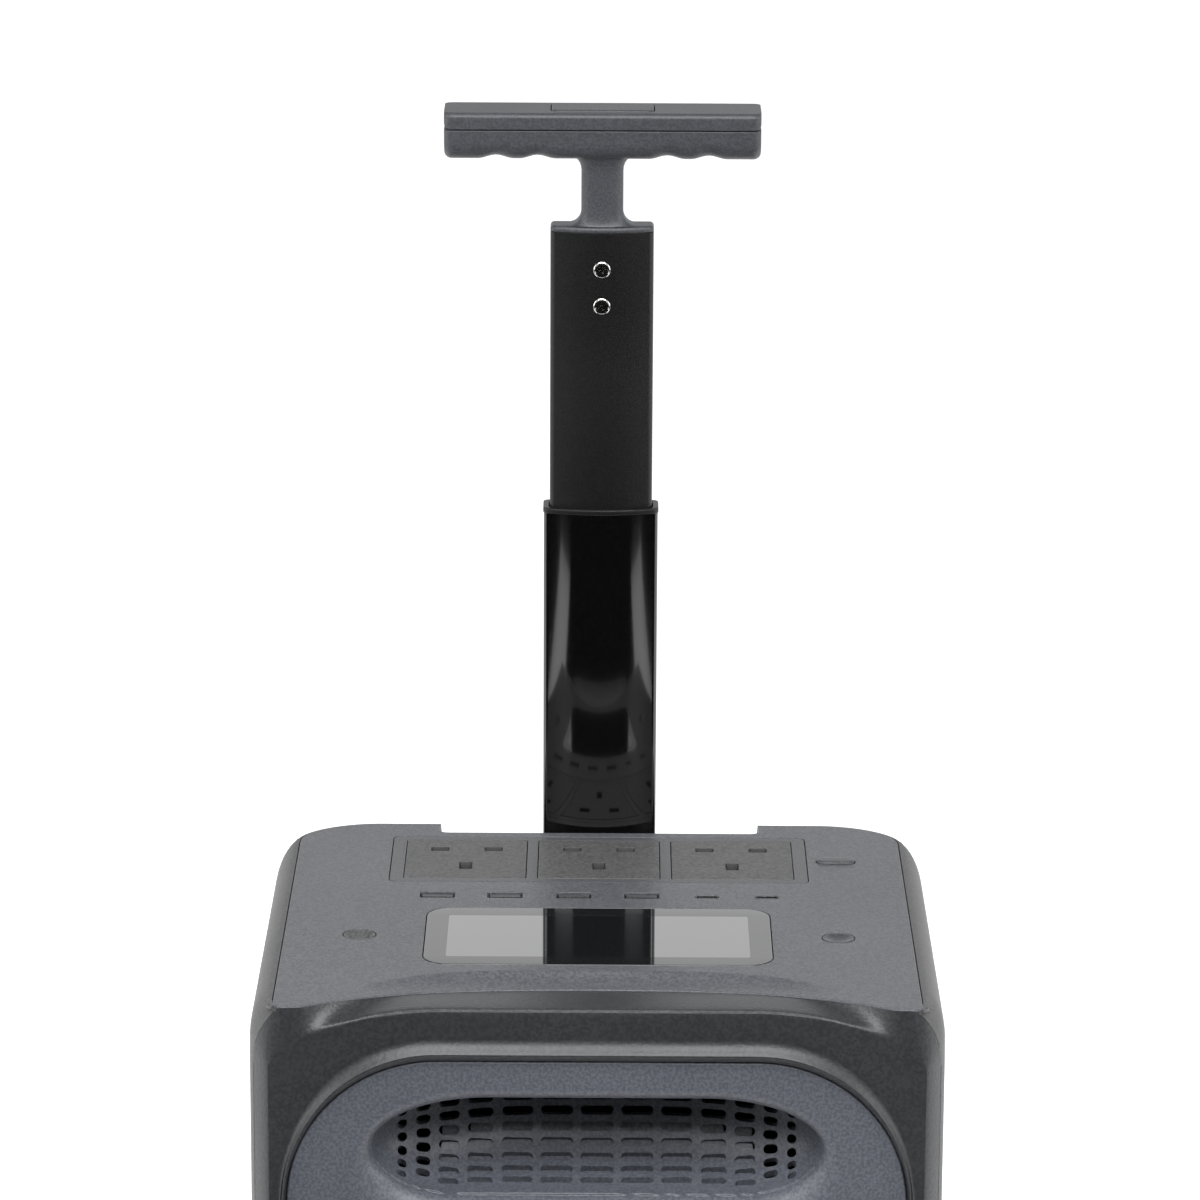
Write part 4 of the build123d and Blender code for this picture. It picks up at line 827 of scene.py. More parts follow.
def build_sides():
    heights = rim_heights()
    seam_u = 0.4 + 0.4 * 0.12
    for side, name, node in ((1, "left", "side_cover_left"), (-1, "right", "side_cover_right")):
        rows = []
        for spread, drop in heights:
            row = list(reversed(front_run(spread, drop)))
            row += [rim_point(seam_u * i / 40, spread, drop) for i in range(1, 41)]
            rows.append([put((side * x, y, z)) for x, y, z in row])
        obj = make_object("side_skin", [p for row in rows for p in row], grid_faces(len(rows), len(rows[0])))
        tidy_normals(obj, 40)
        orient(obj, (-side, 0, 0.2))
        thicken(obj, 2.2)
        cut(obj, wheel_cutter())
        cut(obj, vent_cutter(-side))
        tidy_normals(obj, 32)
        bevel(obj, 0.35, 2, 50)
        weighted(obj)
        obj.name = f"side_{name}"
        finish_piece(obj, "case", SIDE, "case_plastic", node)


def vent_cutter(side):
    """Louvre slots over the fan."""
    fan_low, fan_high = box_mm("fan_frame_right")
    centre_y = (fan_low.y + fan_high.y) / 2
    centre_z = (fan_low.z + fan_high.z) / 2
    slots = []
    for row in range(9):
        z = centre_z + (row - 4) * 9.0
        half = 46 - 2.2 * abs(row - 4) ** 1.5
        outline = rounded_rect(half, 2.2, 2.2, 5, (centre_y, z))
        low, high = sorted((side * 120.0, side * 150.0))
        slots.append(prism("slot", outline, low, high, "x"))
    return join("slots", slots)


def build_rear():
    heights = rim_heights()
    seam_u = 0.4 + 0.4 * 0.12 + 0.0015
    count = 70
    rows = []
    for spread, drop in heights:
        half = [rim_point(lerp(seam_u, 1, i / count), spread, drop) for i in range(count + 1)]
        row = half + [(-x, y, z) for x, y, z in reversed(half[:-1])]
        rows.append([put(p) for p in row])
    obj = make_object("rear_skin", [p for row in rows for p in row], grid_faces(len(rows), len(rows[0])))
    tidy_normals(obj, 40)
    orient(obj, (0, 1, 0.2))
    thicken(obj, 2.2)
    notch = prism("notch", rounded_rect(NOTCH_HALF_W - 0.01, NOTCH_DEPTH + 6, 6, 6, (0, PANEL_Z + 6)), 81.3, 141.7, "y")
    cut(obj, notch, folded=True)
    tidy_normals(obj, 40)
    cut(obj, wheel_cutter())
    tidy_normals(obj, 40)
    for node in ("ac_inlet", "solar_inlet"):
        low, high = box_mm(node)
        outline = rounded_rect((high.x - low.x) / 2 + 0.3, (high.z - low.z) / 2 + 0.3, 2.2, 5,
                               ((high.x + low.x) / 2, (high.z + low.z) / 2))
        cut(obj, prism("inlet_hole", outline, 100, 140, "y"))
    tidy_normals(obj, 32)
    bevel(obj, 0.4, 2, 50)
    weighted(obj)
    obj.name = "rear_cover"
    pocket = build_pocket()
    merged = join("rear_cover_whole", [obj, pocket])
    tidy_normals(merged, 38)
    finish_piece(merged, "case", CASE, "case_plastic", "rear_shell")


def tube_outline(width, depth, crown, centre_y=None, corner=1.6, grow=0.0):
    """Handle tube section: flat back, bowed front (towards -Y), rounded corners, anticlockwise."""
    cy = HANDLE_Y if centre_y is None else centre_y
    half_w, half_d = width / 2, depth / 2
    points = []
    for quadrant, (sx, sy) in enumerate(((1, 1), (-1, 1), (-1, -1), (1, -1))):
        for step in range(7):
            a = math.radians(90 * quadrant + 15 * step)
            x = sx * (half_w - corner) + corner * math.cos(a)
            y = sy * (half_d - corner) + corner * math.sin(a)
            points.append((x, y))
    front = []
    for i in range(1, 12):
        front.append((lerp(-half_w + corner, half_w - corner, i / 12), -half_d))
    points = points[:21] + front + points[21:]
    bowed = []
    for x, y in points:
        if y < 0:
            bulge = crown * (1 - (x / half_w) ** 2) if abs(x) < half_w else 0
            share = min(1.0, -y / half_d)
            y -= bulge * share
        bowed.append((x, y + cy))
    return offset_outline(bowed, grow) if grow else bowed


def build_pocket():
    """Walls and floor of the recess that the stowed grip lies in."""
    floor_z = PANEL_Z - NOTCH_DEPTH
    hole = tube_outline(48.7, 15.7, 4.0)
    outline = [(-NOTCH_HALF_W - 2.5, NOTCH_Y - 2.5), (NOTCH_HALF_W + 2.5, NOTCH_Y - 2.5),
               (NOTCH_HALF_W + 2.5, REAR_Y - 1.5), (-NOTCH_HALF_W - 2.5, REAR_Y - 1.5)]
    floor = holed_plate("pocket_floor", outline, [hole], floor_z, floor_z - 3, 0.3, 0.5)
    inner = []
    for sx in (1, -1):
        corner = [(NOTCH_HALF_W - 3.5 * (1 - math.cos(math.radians(15 * k))),
                   NOTCH_Y + 3.5 * (1 - math.sin(math.radians(15 * k)))) for k in range(7)]
        corner = [(NOTCH_HALF_W, REAR_Y - 1.5)] + corner
        inner += corner if sx > 0 else [(-x, y) for x, y in reversed(corner)]
    outer = [(x * (1 + 2.4 / NOTCH_HALF_W), y - (2.4 if y < REAR_Y - 10 else 0)) for x, y in inner]
    loop = inner + outer[::-1]
    low = [(x, y, floor_z - 0.5) for x, y in loop]
    top = [(x, y, PANEL_Z + min(-PANEL_T - 0.3, rear_rim_drop(y) - 2.0)) for x, y in loop]
    walls = loft("pocket_walls", [low, top])
    tidy_normals(walls, 40)
    return join("pocket", [floor, walls])


def build_base():
    """Base tray with a rounded lower edge and the wheels' arches."""
    outline = []
    for step in range(9):
        a = math.radians(90 + 11.25 * step) + math.pi / 2
        outline.append((-(HALF_W - CORNER_R) + CORNER_R * math.cos(a), FRONT_Y + CORNER_R + CORNER_R * math.sin(a)))
    outline += [(x, FRONT_Y) for x in (-90, -45, 0, 45, 90)]
    outline += [(-x, y) for x, y in reversed(outline[:9])]
    a, b = REAR_CORNER
    right = [(HALF_W, y) for y in (-60, 0, REAR_Y - b)]
    for step in range(1, 16):
        angle = math.radians(6 * step)
        right.append((HALF_W - a + a * math.cos(angle), REAR_Y - b + b * math.sin(angle)))
    outline += right + [(45, REAR_Y), (0, REAR_Y), (-45, REAR_Y)] + [(-x, y) for x, y in reversed(right)]
    loops = []
    top = BASE_SEAM - 0.2
    for inset, z in [(2.6, top - 1.0), (2.4, top), (0.4, top), (0.0, top - 0.5), (0, top - 14)]:
        loops.append([(x, y, z) for x, y in offset_outline(outline, -inset)])
    for step in range(7):
        angle = math.radians(15 * step)
        inset = 8 * (1 - math.cos(angle))
        loops.append([(x, y, CASE_BOTTOM + 8 - 8 * math.sin(angle)) for x, y in offset_outline(outline, -inset)])
    obj = loft("base_skin", loops[::-1], caps=True)
    tidy_normals(obj, 40)
    cut(obj, wheel_cutter())
    tidy_normals(obj, 32)
    bevel(obj, 0.5, 2, 50)
    weighted(obj)
    obj.name = "base"
    finish_piece(obj, "case", CASE, "case_plastic", "base_tray")


def build_wheel_wells():
    """Drum-shaped liners behind the wheels, trimmed to the case's plan outline."""
    for side, name in ((-1, "left"), (1, "right")):
        loops = []
        angles = [math.radians(a) for a in range(-44, 230, 4)]
        rings = []
        for radius in (6.0, 20.0, 40.0, WELL_R + 0.6):
            rings.append([(side * 98.4, AXLE_Y + radius * math.cos(a), AXLE_Z + radius * math.sin(a)) for a in angles])
        rim = []
        for a in angles:
            y = AXLE_Y + (WELL_R + 0.6) * math.cos(a)
            reach = body_half_width(min(y, REAR_Y - 2)) - 1.6
            rim.append((side * max(98.4, min(reach, HALF_W - 1.6)), y, AXLE_Z + (WELL_R + 0.6) * math.sin(a)))
        rings.append(rim)
        rings = [[(x, min(y, REAR_Y - 1.6), max(z, CASE_BOTTOM + 2.2)) for x, y, z in ring] for ring in rings]
        obj = make_object("well", [p for ring in rings for p in ring], grid_faces(len(rings), len(rings[0])))
        tidy_normals(obj, 40)
        orient(obj, (side, 0, 0))
        thicken(obj, 1.2)
        tidy_normals(obj, 40)
        obj.name = f"wheel_liner_{name}"
        finish_piece(obj, "case", DARK_AND_HOLE_SHADE, "case_plastic", f"wheel_well_{name}")


# ---------------------------------------------------------------- grille insert
POCKET_DEPTH = 41.6
POCKET_MID_Z = -58.6
POCKET_HALF_H = 20.8
POCKET_HALF_W = 87.4
BOWL_AXIS_Z = -56.0                # where the back wall starts to curve forward
BOWL_FLAT = 15.0                   # flat middle of the back wall in plan
GRILLE_SET = 0.3                   # the insert lies this far behind the front face
GRILLE_WALL = 1.8
BOWL_WALL = 3.4
SLOT_COLUMNS = ((0.0, 13.0), (15.8, 12.7), (31.2, 12.2), (45.7, 10.0), (57.9, 8.0), (67.9, 5.6), (76.0, 3.6))
SLOT_H = 3.7
SLOT_FIRST = 0.7
SLOT_SHALLOW = 2.6                 # depth of the blind slots
THROUGH_ROWS = 1                   # rows from here up, and the outer columns, are open


def pocket_edge(x):
    """Heights of the pocket's upper and lower edge at a given X."""
    ax = abs(x)

    def reach(end):
        flat = POCKET_HALF_W - end
        over = max(0.0, ax - flat) / end
        return POCKET_HALF_H * math.sqrt(max(0.0, 1 - min(1.0, over) ** 2))

    return POCKET_MID_Z + reach(46.0), POCKET_MID_Z - reach(34.0)


def lowness(z):
    """0 on the pocket's upper lip, 1 on its lower lip."""
    return smooth_step((POCKET_MID_Z + 6 - z) / 20)


def lip_depth(z):
    """Depth of the pocket's crisp edge behind the front face."""
    return lerp(5.5, 9.0, lowness(z))


def pocket_depth(x, z, upper, lower):
    """Depth of the pocket's back wall behind the front face."""
    over = min(1.0, max(0.0, abs(x) - BOWL_FLAT) / (POCKET_HALF_W - BOWL_FLAT))
    edge = lip_depth(z)
    deepest = edge + (POCKET_DEPTH - edge) * math.sqrt(1 - over ** 2)
    axis = lerp(POCKET_MID_Z, BOWL_AXIS_Z, min(1.0, (upper - lower) / (2 * POCKET_HALF_H)))
    if z >= min(axis, upper):
        return deepest
    axis = min(axis, upper)
    fall = min(1.0, (axis - z) / max(0.01, axis - lower))
    return edge + (deepest - edge) * math.sqrt(max(0.0, 1 - fall ** 2))


def build_grille():
    """Ring face, rolled lip, and the scooped back wall with its slots."""
    half = 64
    xs = [-POCKET_HALF_W * math.cos(math.pi * i / half) for i in range(half + 1)]
    edge = [(x, pocket_edge(x)[1]) for x in xs] + [(x, pocket_edge(x)[0]) for x in reversed(xs[1:-1])]
    count = len(edge)
    directions = [(o[0] - e[0], o[1] - e[1]) for o, e in zip(offset_outline(edge, 1.0), edge)]
    mesh = bmesh.new()

    def vert(x, depth, z):
        return mesh.verts.new(Vector((x, FRONT_Y + GRILLE_SET + depth, z + PANEL_Z)) * MM)

    rows = []
    for k in range(11):
        a = math.radians(9 * k)
        row = []
        for (x, z), (dx, dz) in zip(edge, directions):
            out = lerp(6.0, 15.0, lowness(z)) * (1 - math.cos(a))
            row.append(vert(x + dx * out, lip_depth(z) * (1 - math.sin(a)), z + dz * out))
        rows.append(row)
    for lower_row, upper_row in zip(rows, rows[1:]):
        for i in range(count):
            j = (i + 1) % count
            mesh.faces.new((lower_row[i], lower_row[j], upper_row[j], upper_row[i]))
    ring = ring_outline(-0.8)
    ring_loop = [mesh.verts.new(Vector((x, FRONT_Y + GRILLE_SET, z)) * MM) for x, z in ring]
    fill_between(mesh, [ring_loop, rows[-1]])
    turns = []
    for k in range(1, 5):
        a = math.radians(22.5 * k)
        turns.append((0.8 * math.sin(a), 0.8 * (1 - math.cos(a))))
    turns.append((0.8, 4.0))
    outlines = [(ring_outline(-0.8 + out), depth) for out, depth in turns]
    ring_rows(mesh, ring_loop, [lambda i, o=o, d=d: (o[i][0], FRONT_Y + GRILLE_SET + d, o[i][1]) for o, d in outlines])
    data = bpy.data.meshes.new("grille_ring")
    mesh.to_mesh(data)
    mesh.free()
    face = bpy.data.objects.new("grille_ring", data)
    bpy.context.collection.objects.link(face)
    tidy_normals(face, 45)
    orient(face, (0, -1, 0))
    thicken(face, GRILLE_WALL)
    wall_rows = 44
    columns = []
    for x in xs:
        upper, lower = pocket_edge(x)
        column = [(x, lip_depth(upper), upper)]
        for k in range(wall_rows + 1):
            z = lerp(upper, lower, 1 - (1 - k / wall_rows) ** 1.7)
            column.append((x, pocket_depth(x, z, upper, lower), z))
        columns.append([(cx, FRONT_Y + GRILLE_SET + depth, cz + PANEL_Z) for cx, depth, cz in column])
    bowl = make_object("grille_bowl", [p for column in columns for p in column],
                       grid_faces(len(columns), len(columns[0])))
    tidy_normals(bowl, 50)
    orient(bowl, (0, -1, 0))
    thicken(bowl, BOWL_WALL)
    cut(bowl, slot_cutter(), folded=True)
    tidy_normals(bowl, 40)
    bevel(bowl, 0.45, 3, 62)
    whole = join("grille_insert", [face, bowl])
    tidy_normals(whole, 38)
    weighted(whole)
    finish_piece(whole, "case", GRILLE, "panel_plastic", "front_grille")


def slot_cutter():
    """Rounded slots in rows of equal steps along the scoop, each cut square to the wall."""
    cutters = []
    step_z = 0.1
    for centre, width in SLOT_COLUMNS:
        upper, lower = pocket_edge(centre)
        z = BOWL_AXIS_Z + 14
        travelled = -14.0
        path = []
        while z > lower + 0.2:
            depth = pocket_depth(centre, z, upper, lower)
            path.append((travelled, z, depth))
            travelled += math.hypot(step_z, pocket_depth(centre, z - step_z, upper, lower) - depth)
            z -= step_z
        pitch = lerp(6.4, 5.3, (centre / SLOT_COLUMNS[-1][0]) ** 2)
        for row in range(-2, 6):
            middle = SLOT_FIRST + row * pitch
            near = [p for p in path if abs(p[0] - middle) < 0.6]
            if not near or near[0][1] > upper - 3 or middle + SLOT_H * 0.75 > path[-1][0]:
                continue
            _, z0, d0 = near[len(near) // 2]
            (_, za, da), (_, zb, db) = near[0], near[-1]
            along = Vector((0, db - da, zb - za)).normalized()
            out = Vector((0, along.z, -along.y))
            if out.y > 0:
                out = -out
            across = Vector((1, 0, 0))
            for x in {centre, -centre}:
                place = Vector((x, FRONT_Y + GRILLE_SET + d0, z0 + PANEL_Z))
                outline = rounded_rect(width / 2, SLOT_H / 2, min(width, SLOT_H) * 0.46, 5)
                sink = -14 if row < THROUGH_ROWS or centre > 60 else -SLOT_SHALLOW
                loops = [[place + across * u + along * v + out * h for u, v in outline] for h in (sink, 5)]
                cutter = loft("slot", loops)
                tidy_normals(cutter, 60)
                cutters.append(cutter)
    return join("slots", cutters)


# ---------------------------------------------------------------- sockets, ports, display and buttons
def circle(radius, centre=(0, 0), steps=48):
    """Anticlockwise circle of points."""
    return [(centre[0] + radius * math.cos(2 * math.pi * i / steps),
             centre[1] + radius * math.sin(2 * math.pi * i / steps)) for i in range(steps)]


def turned(name, profile, centre=(0, 0, 0), axis="z", steps=64):
    """Closed turned form. The profile lists radius and height; ends at radius 0 are closed by a small cap."""
    loops = []
    for radius, height in profile:
        ring = []
        for px, py in circle(max(radius, 0.01), steps=steps):
            if axis == "z":
                ring.append((centre[0] + px, centre[1] + py, centre[2] + height))
            elif axis == "x":
                ring.append((centre[0] + height, centre[1] + px, centre[2] + py))
            else:
                ring.append((centre[0] + px, centre[1] + height, centre[2] - py))
        loops.append(ring)
    return loft(name, loops)


SOCKET_X = (-55.0, 0.0, 55.0)
SOCKET_Y = 55.0
SOCKET_HALF = 25.0
LINER_T = 0.3
PIN_SLOTS = ((-11.1, 13.0, 3.5, 2.3), (11.1, 13.0, 3.5, 2.3), (0.0, -9.0, 2.4, 4.2))


def build_socket_frame():
    half_w, half_l, centre = SOCKET_FRAME
    outline = rounded_rect(half_w - 0.15, half_l - 0.15, 3, 4, centre)
    holes = [rounded_rect(SOCKET_HALF + 0.25, SOCKET_HALF + 0.25, 0.8, 3, (x, SOCKET_Y)) for x in SOCKET_X]
    top = box_mm("socket_frame")[1].z
    obj = holed_plate("socket_surround", outline, holes, top + 0.1, top - 4, 0.3, 0.3)
    weighted(obj)
    finish_piece(obj, "case", FRAME_PLASTIC, "panel_plastic", "socket_frame")


def build_sockets():
    top = box_mm("ac_socket_left")[1].z
    pin_hole_shade_pieces = []
    for x, name in zip(SOCKET_X, ("left", "middle", "right")):
        outline = rounded_rect(SOCKET_HALF, SOCKET_HALF, 0.6, 3, (x, SOCKET_Y))
        slots = [rounded_rect(w, h, 0.4, 2, (x + dx, SOCKET_Y + dy)) for dx, dy, w, h in PIN_SLOTS]
        wide = [offset_outline(slot, LINER_T) for slot in slots]
        obj = holed_plate(f"outlet_{name}", outline, wide, top, top - 9, 0.35, 0.1)
        weighted(obj)
        finish_piece(obj, "case", SOCKET, "socket_plastic", f"ac_socket_{name}")
        # Near-black liners on the pin holes' walls and a near-black shutter under them are painted shade that makes the
        # pin holes read black.
        pin_hole_shade_pieces += [tube_ring("liner", out, slot, top - 0.12, top - 9) for out, slot in zip(wide, slots)]
        pin_hole_shade_pieces.append(prism("shutter", rounded_rect(22, 22, 1, 2, (x, SOCKET_Y)), top - 20, top - 9.01))
    finish_piece(tidy_normals(join("outlet_pin_hole_shade", pin_hole_shade_pieces), 50), "case", DARK_AND_HOLE_SHADE, "socket_plastic")


def tube_ring(name, outer, inner, top, bottom, lip=0.15):
    """Upright ring between two outlines with rounded lips."""
    loops = []
    for outline, way in ((outer, -1), (inner, 1)):
        for z in (bottom, top - lip):
            loops.append([(x, y, z) for x, y in outline])
        loops.append([(x, y, top) for x, y in offset_outline(outline, way * lip)])
    ring = loops[:3] + loops[3:][::-1]
    count = len(outer)
    verts = [p for loop in ring for p in loop]
    faces = grid_faces(len(ring), count, True)
    last = (len(ring) - 1) * count
    faces += [(last + i, last + (i + 1) % count, (i + 1) % count, i) for i in range(count)]
    return make_object(name, verts, faces)


def build_usb():
    top = box_mm("usb_a_ports")[1].z
    shells, tongues, contacts = [], [], []
    for index, x in enumerate(USB_A_X):
        centre = (x, USB_A_Y)
        shells.append(tube_ring("shell", rounded_rect(6.95, 3.4, 0.7, 3, centre), rounded_rect(6.5, 2.95, 0.4, 3, centre),
                                top - 0.7, top - 13))
        tongues.append(prism("tongue", rounded_rect(6.2, 1.65, 0.25, 2, (x, USB_A_Y + 1.1)), top - 13, top - 0.6))
        tongues.append(prism("floor", rounded_rect(6.6, 3.0, 0.4, 2, centre), top - 13.6, top - 12))
        for k in range(4):
            contacts.append(prism("contact", rounded_rect(0.55, 0.14, 0.1, 2, (x - 3.5 + 2.333 * k, USB_A_Y - 0.62)),
                                  top - 11, top - 0.7))
    finish_piece(tidy_normals(join("usb_a_shells", shells), 40), "case", PORT_METAL, "steel", "usb_a_ports")
    finish_piece(tidy_normals(join("usb_a_tongues", tongues), 40), "case", BUTTON, "socket_plastic")
    finish_piece(tidy_normals(join("usb_a_contacts", contacts), 40), "case", GOLD, "bright_metal")
    shells, tongues = [], []
    for x in USB_C_X:
        centre = (x, USB_C_Y)
        shells.append(tube_ring("shell", rounded_rect(4.75, 2.25, 2.2, 6, centre), rounded_rect(4.2, 1.7, 1.65, 6, centre),
                                top, top - 8))
        tongues.append(prism("tongue", rounded_rect(3.7, 1.0, 0.5, 3, centre), top - 8, top - 0.5))
        tongues.append(prism("floor", rounded_rect(4.3, 1.8, 1.6, 4, centre), top - 8.5, top - 7))
    finish_piece(tidy_normals(join("usb_c_shells", shells), 40), "case", PORT_METAL, "steel", "usb_c_ports")
    finish_piece(tidy_normals(join("usb_c_tongues", tongues), 40), "case", BUTTON, "socket_plastic")


def build_display():
    half_w, half_l, centre = GLASS_BOX
    top = box_mm("display_glass")[1].z
    window = rounded_rect(60.0, 25.2, 1.0, 3, centre)
    outline = rounded_rect(half_w - 0.15, half_l - 0.15, 9.85, 10, centre)
    glass = holed_plate("display_glass_sheet", outline, [window], top, top - 2, 0.35, 0.01)
    weighted(glass)
    finish_piece(glass, "case", GLASS, "display_gloss", "display_glass")
    screen = plate("display_screen", rounded_rect(60.0, 25.2, 1.0, 3, centre), top - 0.02, top - 4, 0.01, 2)
    weighted(screen)
    finish_piece(screen, "case", LCD, "display_gloss", "lcd_module")


def build_buttons():
    x, y, radius = ROUND_BUTTONS[0]
    profile = [(radius, -10), (radius, -0.4), (radius - 0.12, -0.15), (radius - 0.4, 0.0), (radius - 0.9, -0.05),
               (4.8, -0.65), (4.0, -1.05), (3.6, -1.15), (3.45, -0.75), (3.2, -0.5), (2.7, -0.42), (2.3, -0.5),
               (2.15, -0.8), (1.6, -0.85), (0.8, -0.85), (0.0, -0.85)]
    left = turned("button_power", profile, (x, y, PANEL_Z))
    tidy_normals(left, 45)
    finish_piece(left, "power_button", SOCKET, "socket_plastic", "power_button")
    x, y, radius = ROUND_BUTTONS[1]
    profile = [(radius, -10), (radius, -0.4), (radius - 0.12, -0.12), (radius - 0.4, 0.05), (radius - 0.8, 0.02)]
    profile += [(radius - 0.8 - step * (radius - 0.8) / 6, -1.1 * math.sin(math.radians(15 * step))) for step in range(1, 7)]
    right = turned("button_ac", profile, (x, y, PANEL_Z))
    tidy_normals(right, 50)
    finish_piece(right, "ac_button", BUTTON, "socket_plastic", "ac_button")
    loops = []
    for inset, z in ((0.0, -10.0), (0.0, 0.35), (0.12, 0.65), (0.4, 0.87), (0.8, 0.95), (2.0, 1.0)):
        loops.append([(px, py, PANEL_Z + z) for px, py in rounded_rect(7.9 - inset, 3.6 - inset, 3.55 - inset, 10, PILL)])
    pill = loft("button_usb", loops)
    tidy_normals(pill, 45)
    finish_piece(pill, "usb_button", BUTTON, "socket_plastic", "usb_button")


# ---------------------------------------------------------------- telescopic handle
OUTER_SIZE = (47.5, 14.5, 4.0)
INNER_SIZE = (42.5, 11.4, 3.4)
TUBE_WALL = 1.2
SCREW_Z = (680.4, 665.1)


def tube_piece(name, size, low, high):
    """Hollow tube with rounded ends."""
    outer = tube_outline(*size, corner=2.0)
    inner = offset_outline(outer, -TUBE_WALL)
    edge = 0.3
    loops = []
    for outline, inset, z in ((outer, edge, low), (outer, 0, low + edge), (outer, 0, lerp(low, high, 0.33)),
                              (outer, 0, lerp(low, high, 0.66)), (outer, 0, high - edge),
                              (outer, edge, high), (inner, 0, high), (inner, 0, low)):
        points = offset_outline(outline, -inset) if inset else outline
        loops.append([(x, y, z) for x, y in points])
    count = len(outer)
    verts = [p for loop in loops for p in loop]
    faces = grid_faces(len(loops), count, True)
    last = (len(loops) - 1) * count
    faces += [(last + i, last + (i + 1) % count, (i + 1) % count, i) for i in range(count)]
    obj = make_object(name, verts, faces)
    tidy_normals(obj, 35)
    return obj


def build_outer_tube():
    low, high = box_mm("outer_tube")
    obj = tube_piece("handle_outer_tube", OUTER_SIZE, low.z, high.z)
    weighted(obj)
    finish_piece(obj, "handle_outer", TUBE_GLOSS, "tube_gloss", "outer_tube")
    low, high = box_mm("tube_collar")
    outer = tube_outline(*OUTER_SIZE, corner=2.0, grow=0.25)
    inner = tube_outline(43.0, 12.0, 3.5, corner=1.6)
    loops = []
    for outline, inset, z in ((outer, 0.1, -2.2), (outer, 0, -2.0), (outer, 0, -0.5), (outer, 0.15, -0.15),
                              (outer, 0.5, 0), (inner, -0.3, 0), (inner, 0, -0.3), (inner, 0, -2.2)):
        points = offset_outline(outline, -inset) if inset else outline
        loops.append([(x, y, high.z + z) for x, y in points])
    count = len(outer)
    verts = [p for loop in loops for p in loop]
    faces = grid_faces(len(loops), count, True)
    last = (len(loops) - 1) * count
    faces += [(last + i, last + (i + 1) % count, (i + 1) % count, i) for i in range(count)]
    collar = make_object("handle_collar", verts, faces)
    tidy_normals(collar, 35)
    finish_piece(collar, "handle_outer", TUBE_SATIN, "tube_gloss", "tube_collar")


def build_inner_tube():
    low, high = box_mm("inner_tube")
    obj = tube_piece("handle_inner_tube", INNER_SIZE, low.z, high.z)
    cutters = [prism("hole", circle(1.7, (0, z), 24), HANDLE_Y - 14, HANDLE_Y - 2, "y") for z in SCREW_Z]
    cut(obj, join("holes", cutters))
    tidy_normals(obj, 35)
    weighted(obj)
    finish_piece(obj, "handle_inner", TUBE_SATIN, "tube_satin", "inner_tube")
    front = HANDLE_Y - INNER_SIZE[1] / 2 - INNER_SIZE[2]
    heads = []
    for z in SCREW_Z:
        profile = [(1.5, 4.0), (1.5, 0.02), (3.45, 0.02), (3.5, -0.12), (3.35, -0.3), (2.9, -0.47), (2.2, -0.57),
                   (1.2, -0.6), (0.0, -0.6)]
        head = turned("head", profile, (0, front, z), "y", 48)
        tidy_normals(head, 40)
        cross = []
        for turn in (20, 110):
            a = math.radians(turn)
            outline = [(u * math.cos(a) - v * math.sin(a), z + u * math.sin(a) + v * math.cos(a))
                       for u, v in rounded_rect(1.75, 0.36, 0.3, 3)]
            cross.append(prism("cross", outline, front - 2, front + 1.2, "y"))
        for cutter in cross:
            cut(head, cutter)
        heads.append(head)
    screws = join("handle_screws", heads)
    tidy_normals(screws, 32)
    bevel(screws, 0.08, 2, 45)
    finish_piece(screws, "handle_inner", CHROME, "bright_metal", "tube_screws")


GRIP_LOW, GRIP_HIGH = box_mm("grip_body")
CAP_HIGH = box_mm("grip_cap")[1]
GRIP_Y = (GRIP_LOW.y + GRIP_HIGH.y) / 2
GRIP_HALF_W = GRIP_HIGH.x
GRIP_HALF_D = (GRIP_HIGH.y - GRIP_LOW.y) / 2
FINGER_GROOVES = (26.5, 43.5)
FINGER_HALF_W = 7.5
FINGER_DEPTH = 1.5


def grip_floor(x):
    """Height of the grip's underside, with its finger grooves and its fall to the stem."""
    rise = 0.0
    for groove in FINGER_GROOVES:
        over = abs(abs(x) - groove) / FINGER_HALF_W
        if over < 1:
            rise += FINGER_DEPTH * (0.5 + 0.5 * math.cos(math.pi * over))
    return GRIP_LOW.z + rise


def grip_section(x, low, high, round_low, round_high, trim):
    """Loop of points across the grip at X. trim pulls the section in near the ends."""
    half_d = GRIP_HALF_D - trim
    low_z, high_z = low + trim * 0.7, high
    loop = []
    for quadrant, (sy, top) in enumerate(((1, True), (-1, True), (-1, False), (1, False))):
        radius_z = round_high if top else round_low
        radius_y = radius_z
        for step in range(9):
            a = math.radians(90 * quadrant + 90 * step / 8)
            y = sy * (half_d - radius_y) + radius_y * math.cos(a)
            z = (high_z - radius_z if top else low_z + radius_z) + radius_z * math.sin(a)
            loop.append((x, GRIP_Y + y, z))
    return loop


def grip_stations():
    """X of the sections, close together near the rounded ends, with the trim of each."""
    radius = 3.2
    stations = []
    for step in range(7):
        a = math.radians(15 * step)
        stations.append((-GRIP_HALF_W + radius * (1 - math.sin(a)), radius * (1 - math.cos(a)) if step else 0.0))
    left = [(-GRIP_HALF_W + radius * (1 - math.cos(math.radians(15 * k))), radius * (1 - math.sin(math.radians(15 * k))))
            for k in range(7)]
    middle = [(x, 0.0) for x in [-GRIP_HALF_W + radius + (2 * GRIP_HALF_W - 2 * radius) * i / 110 for i in range(1, 110)]]
    return left + middle + [(-x, trim) for x, trim in reversed(left)]


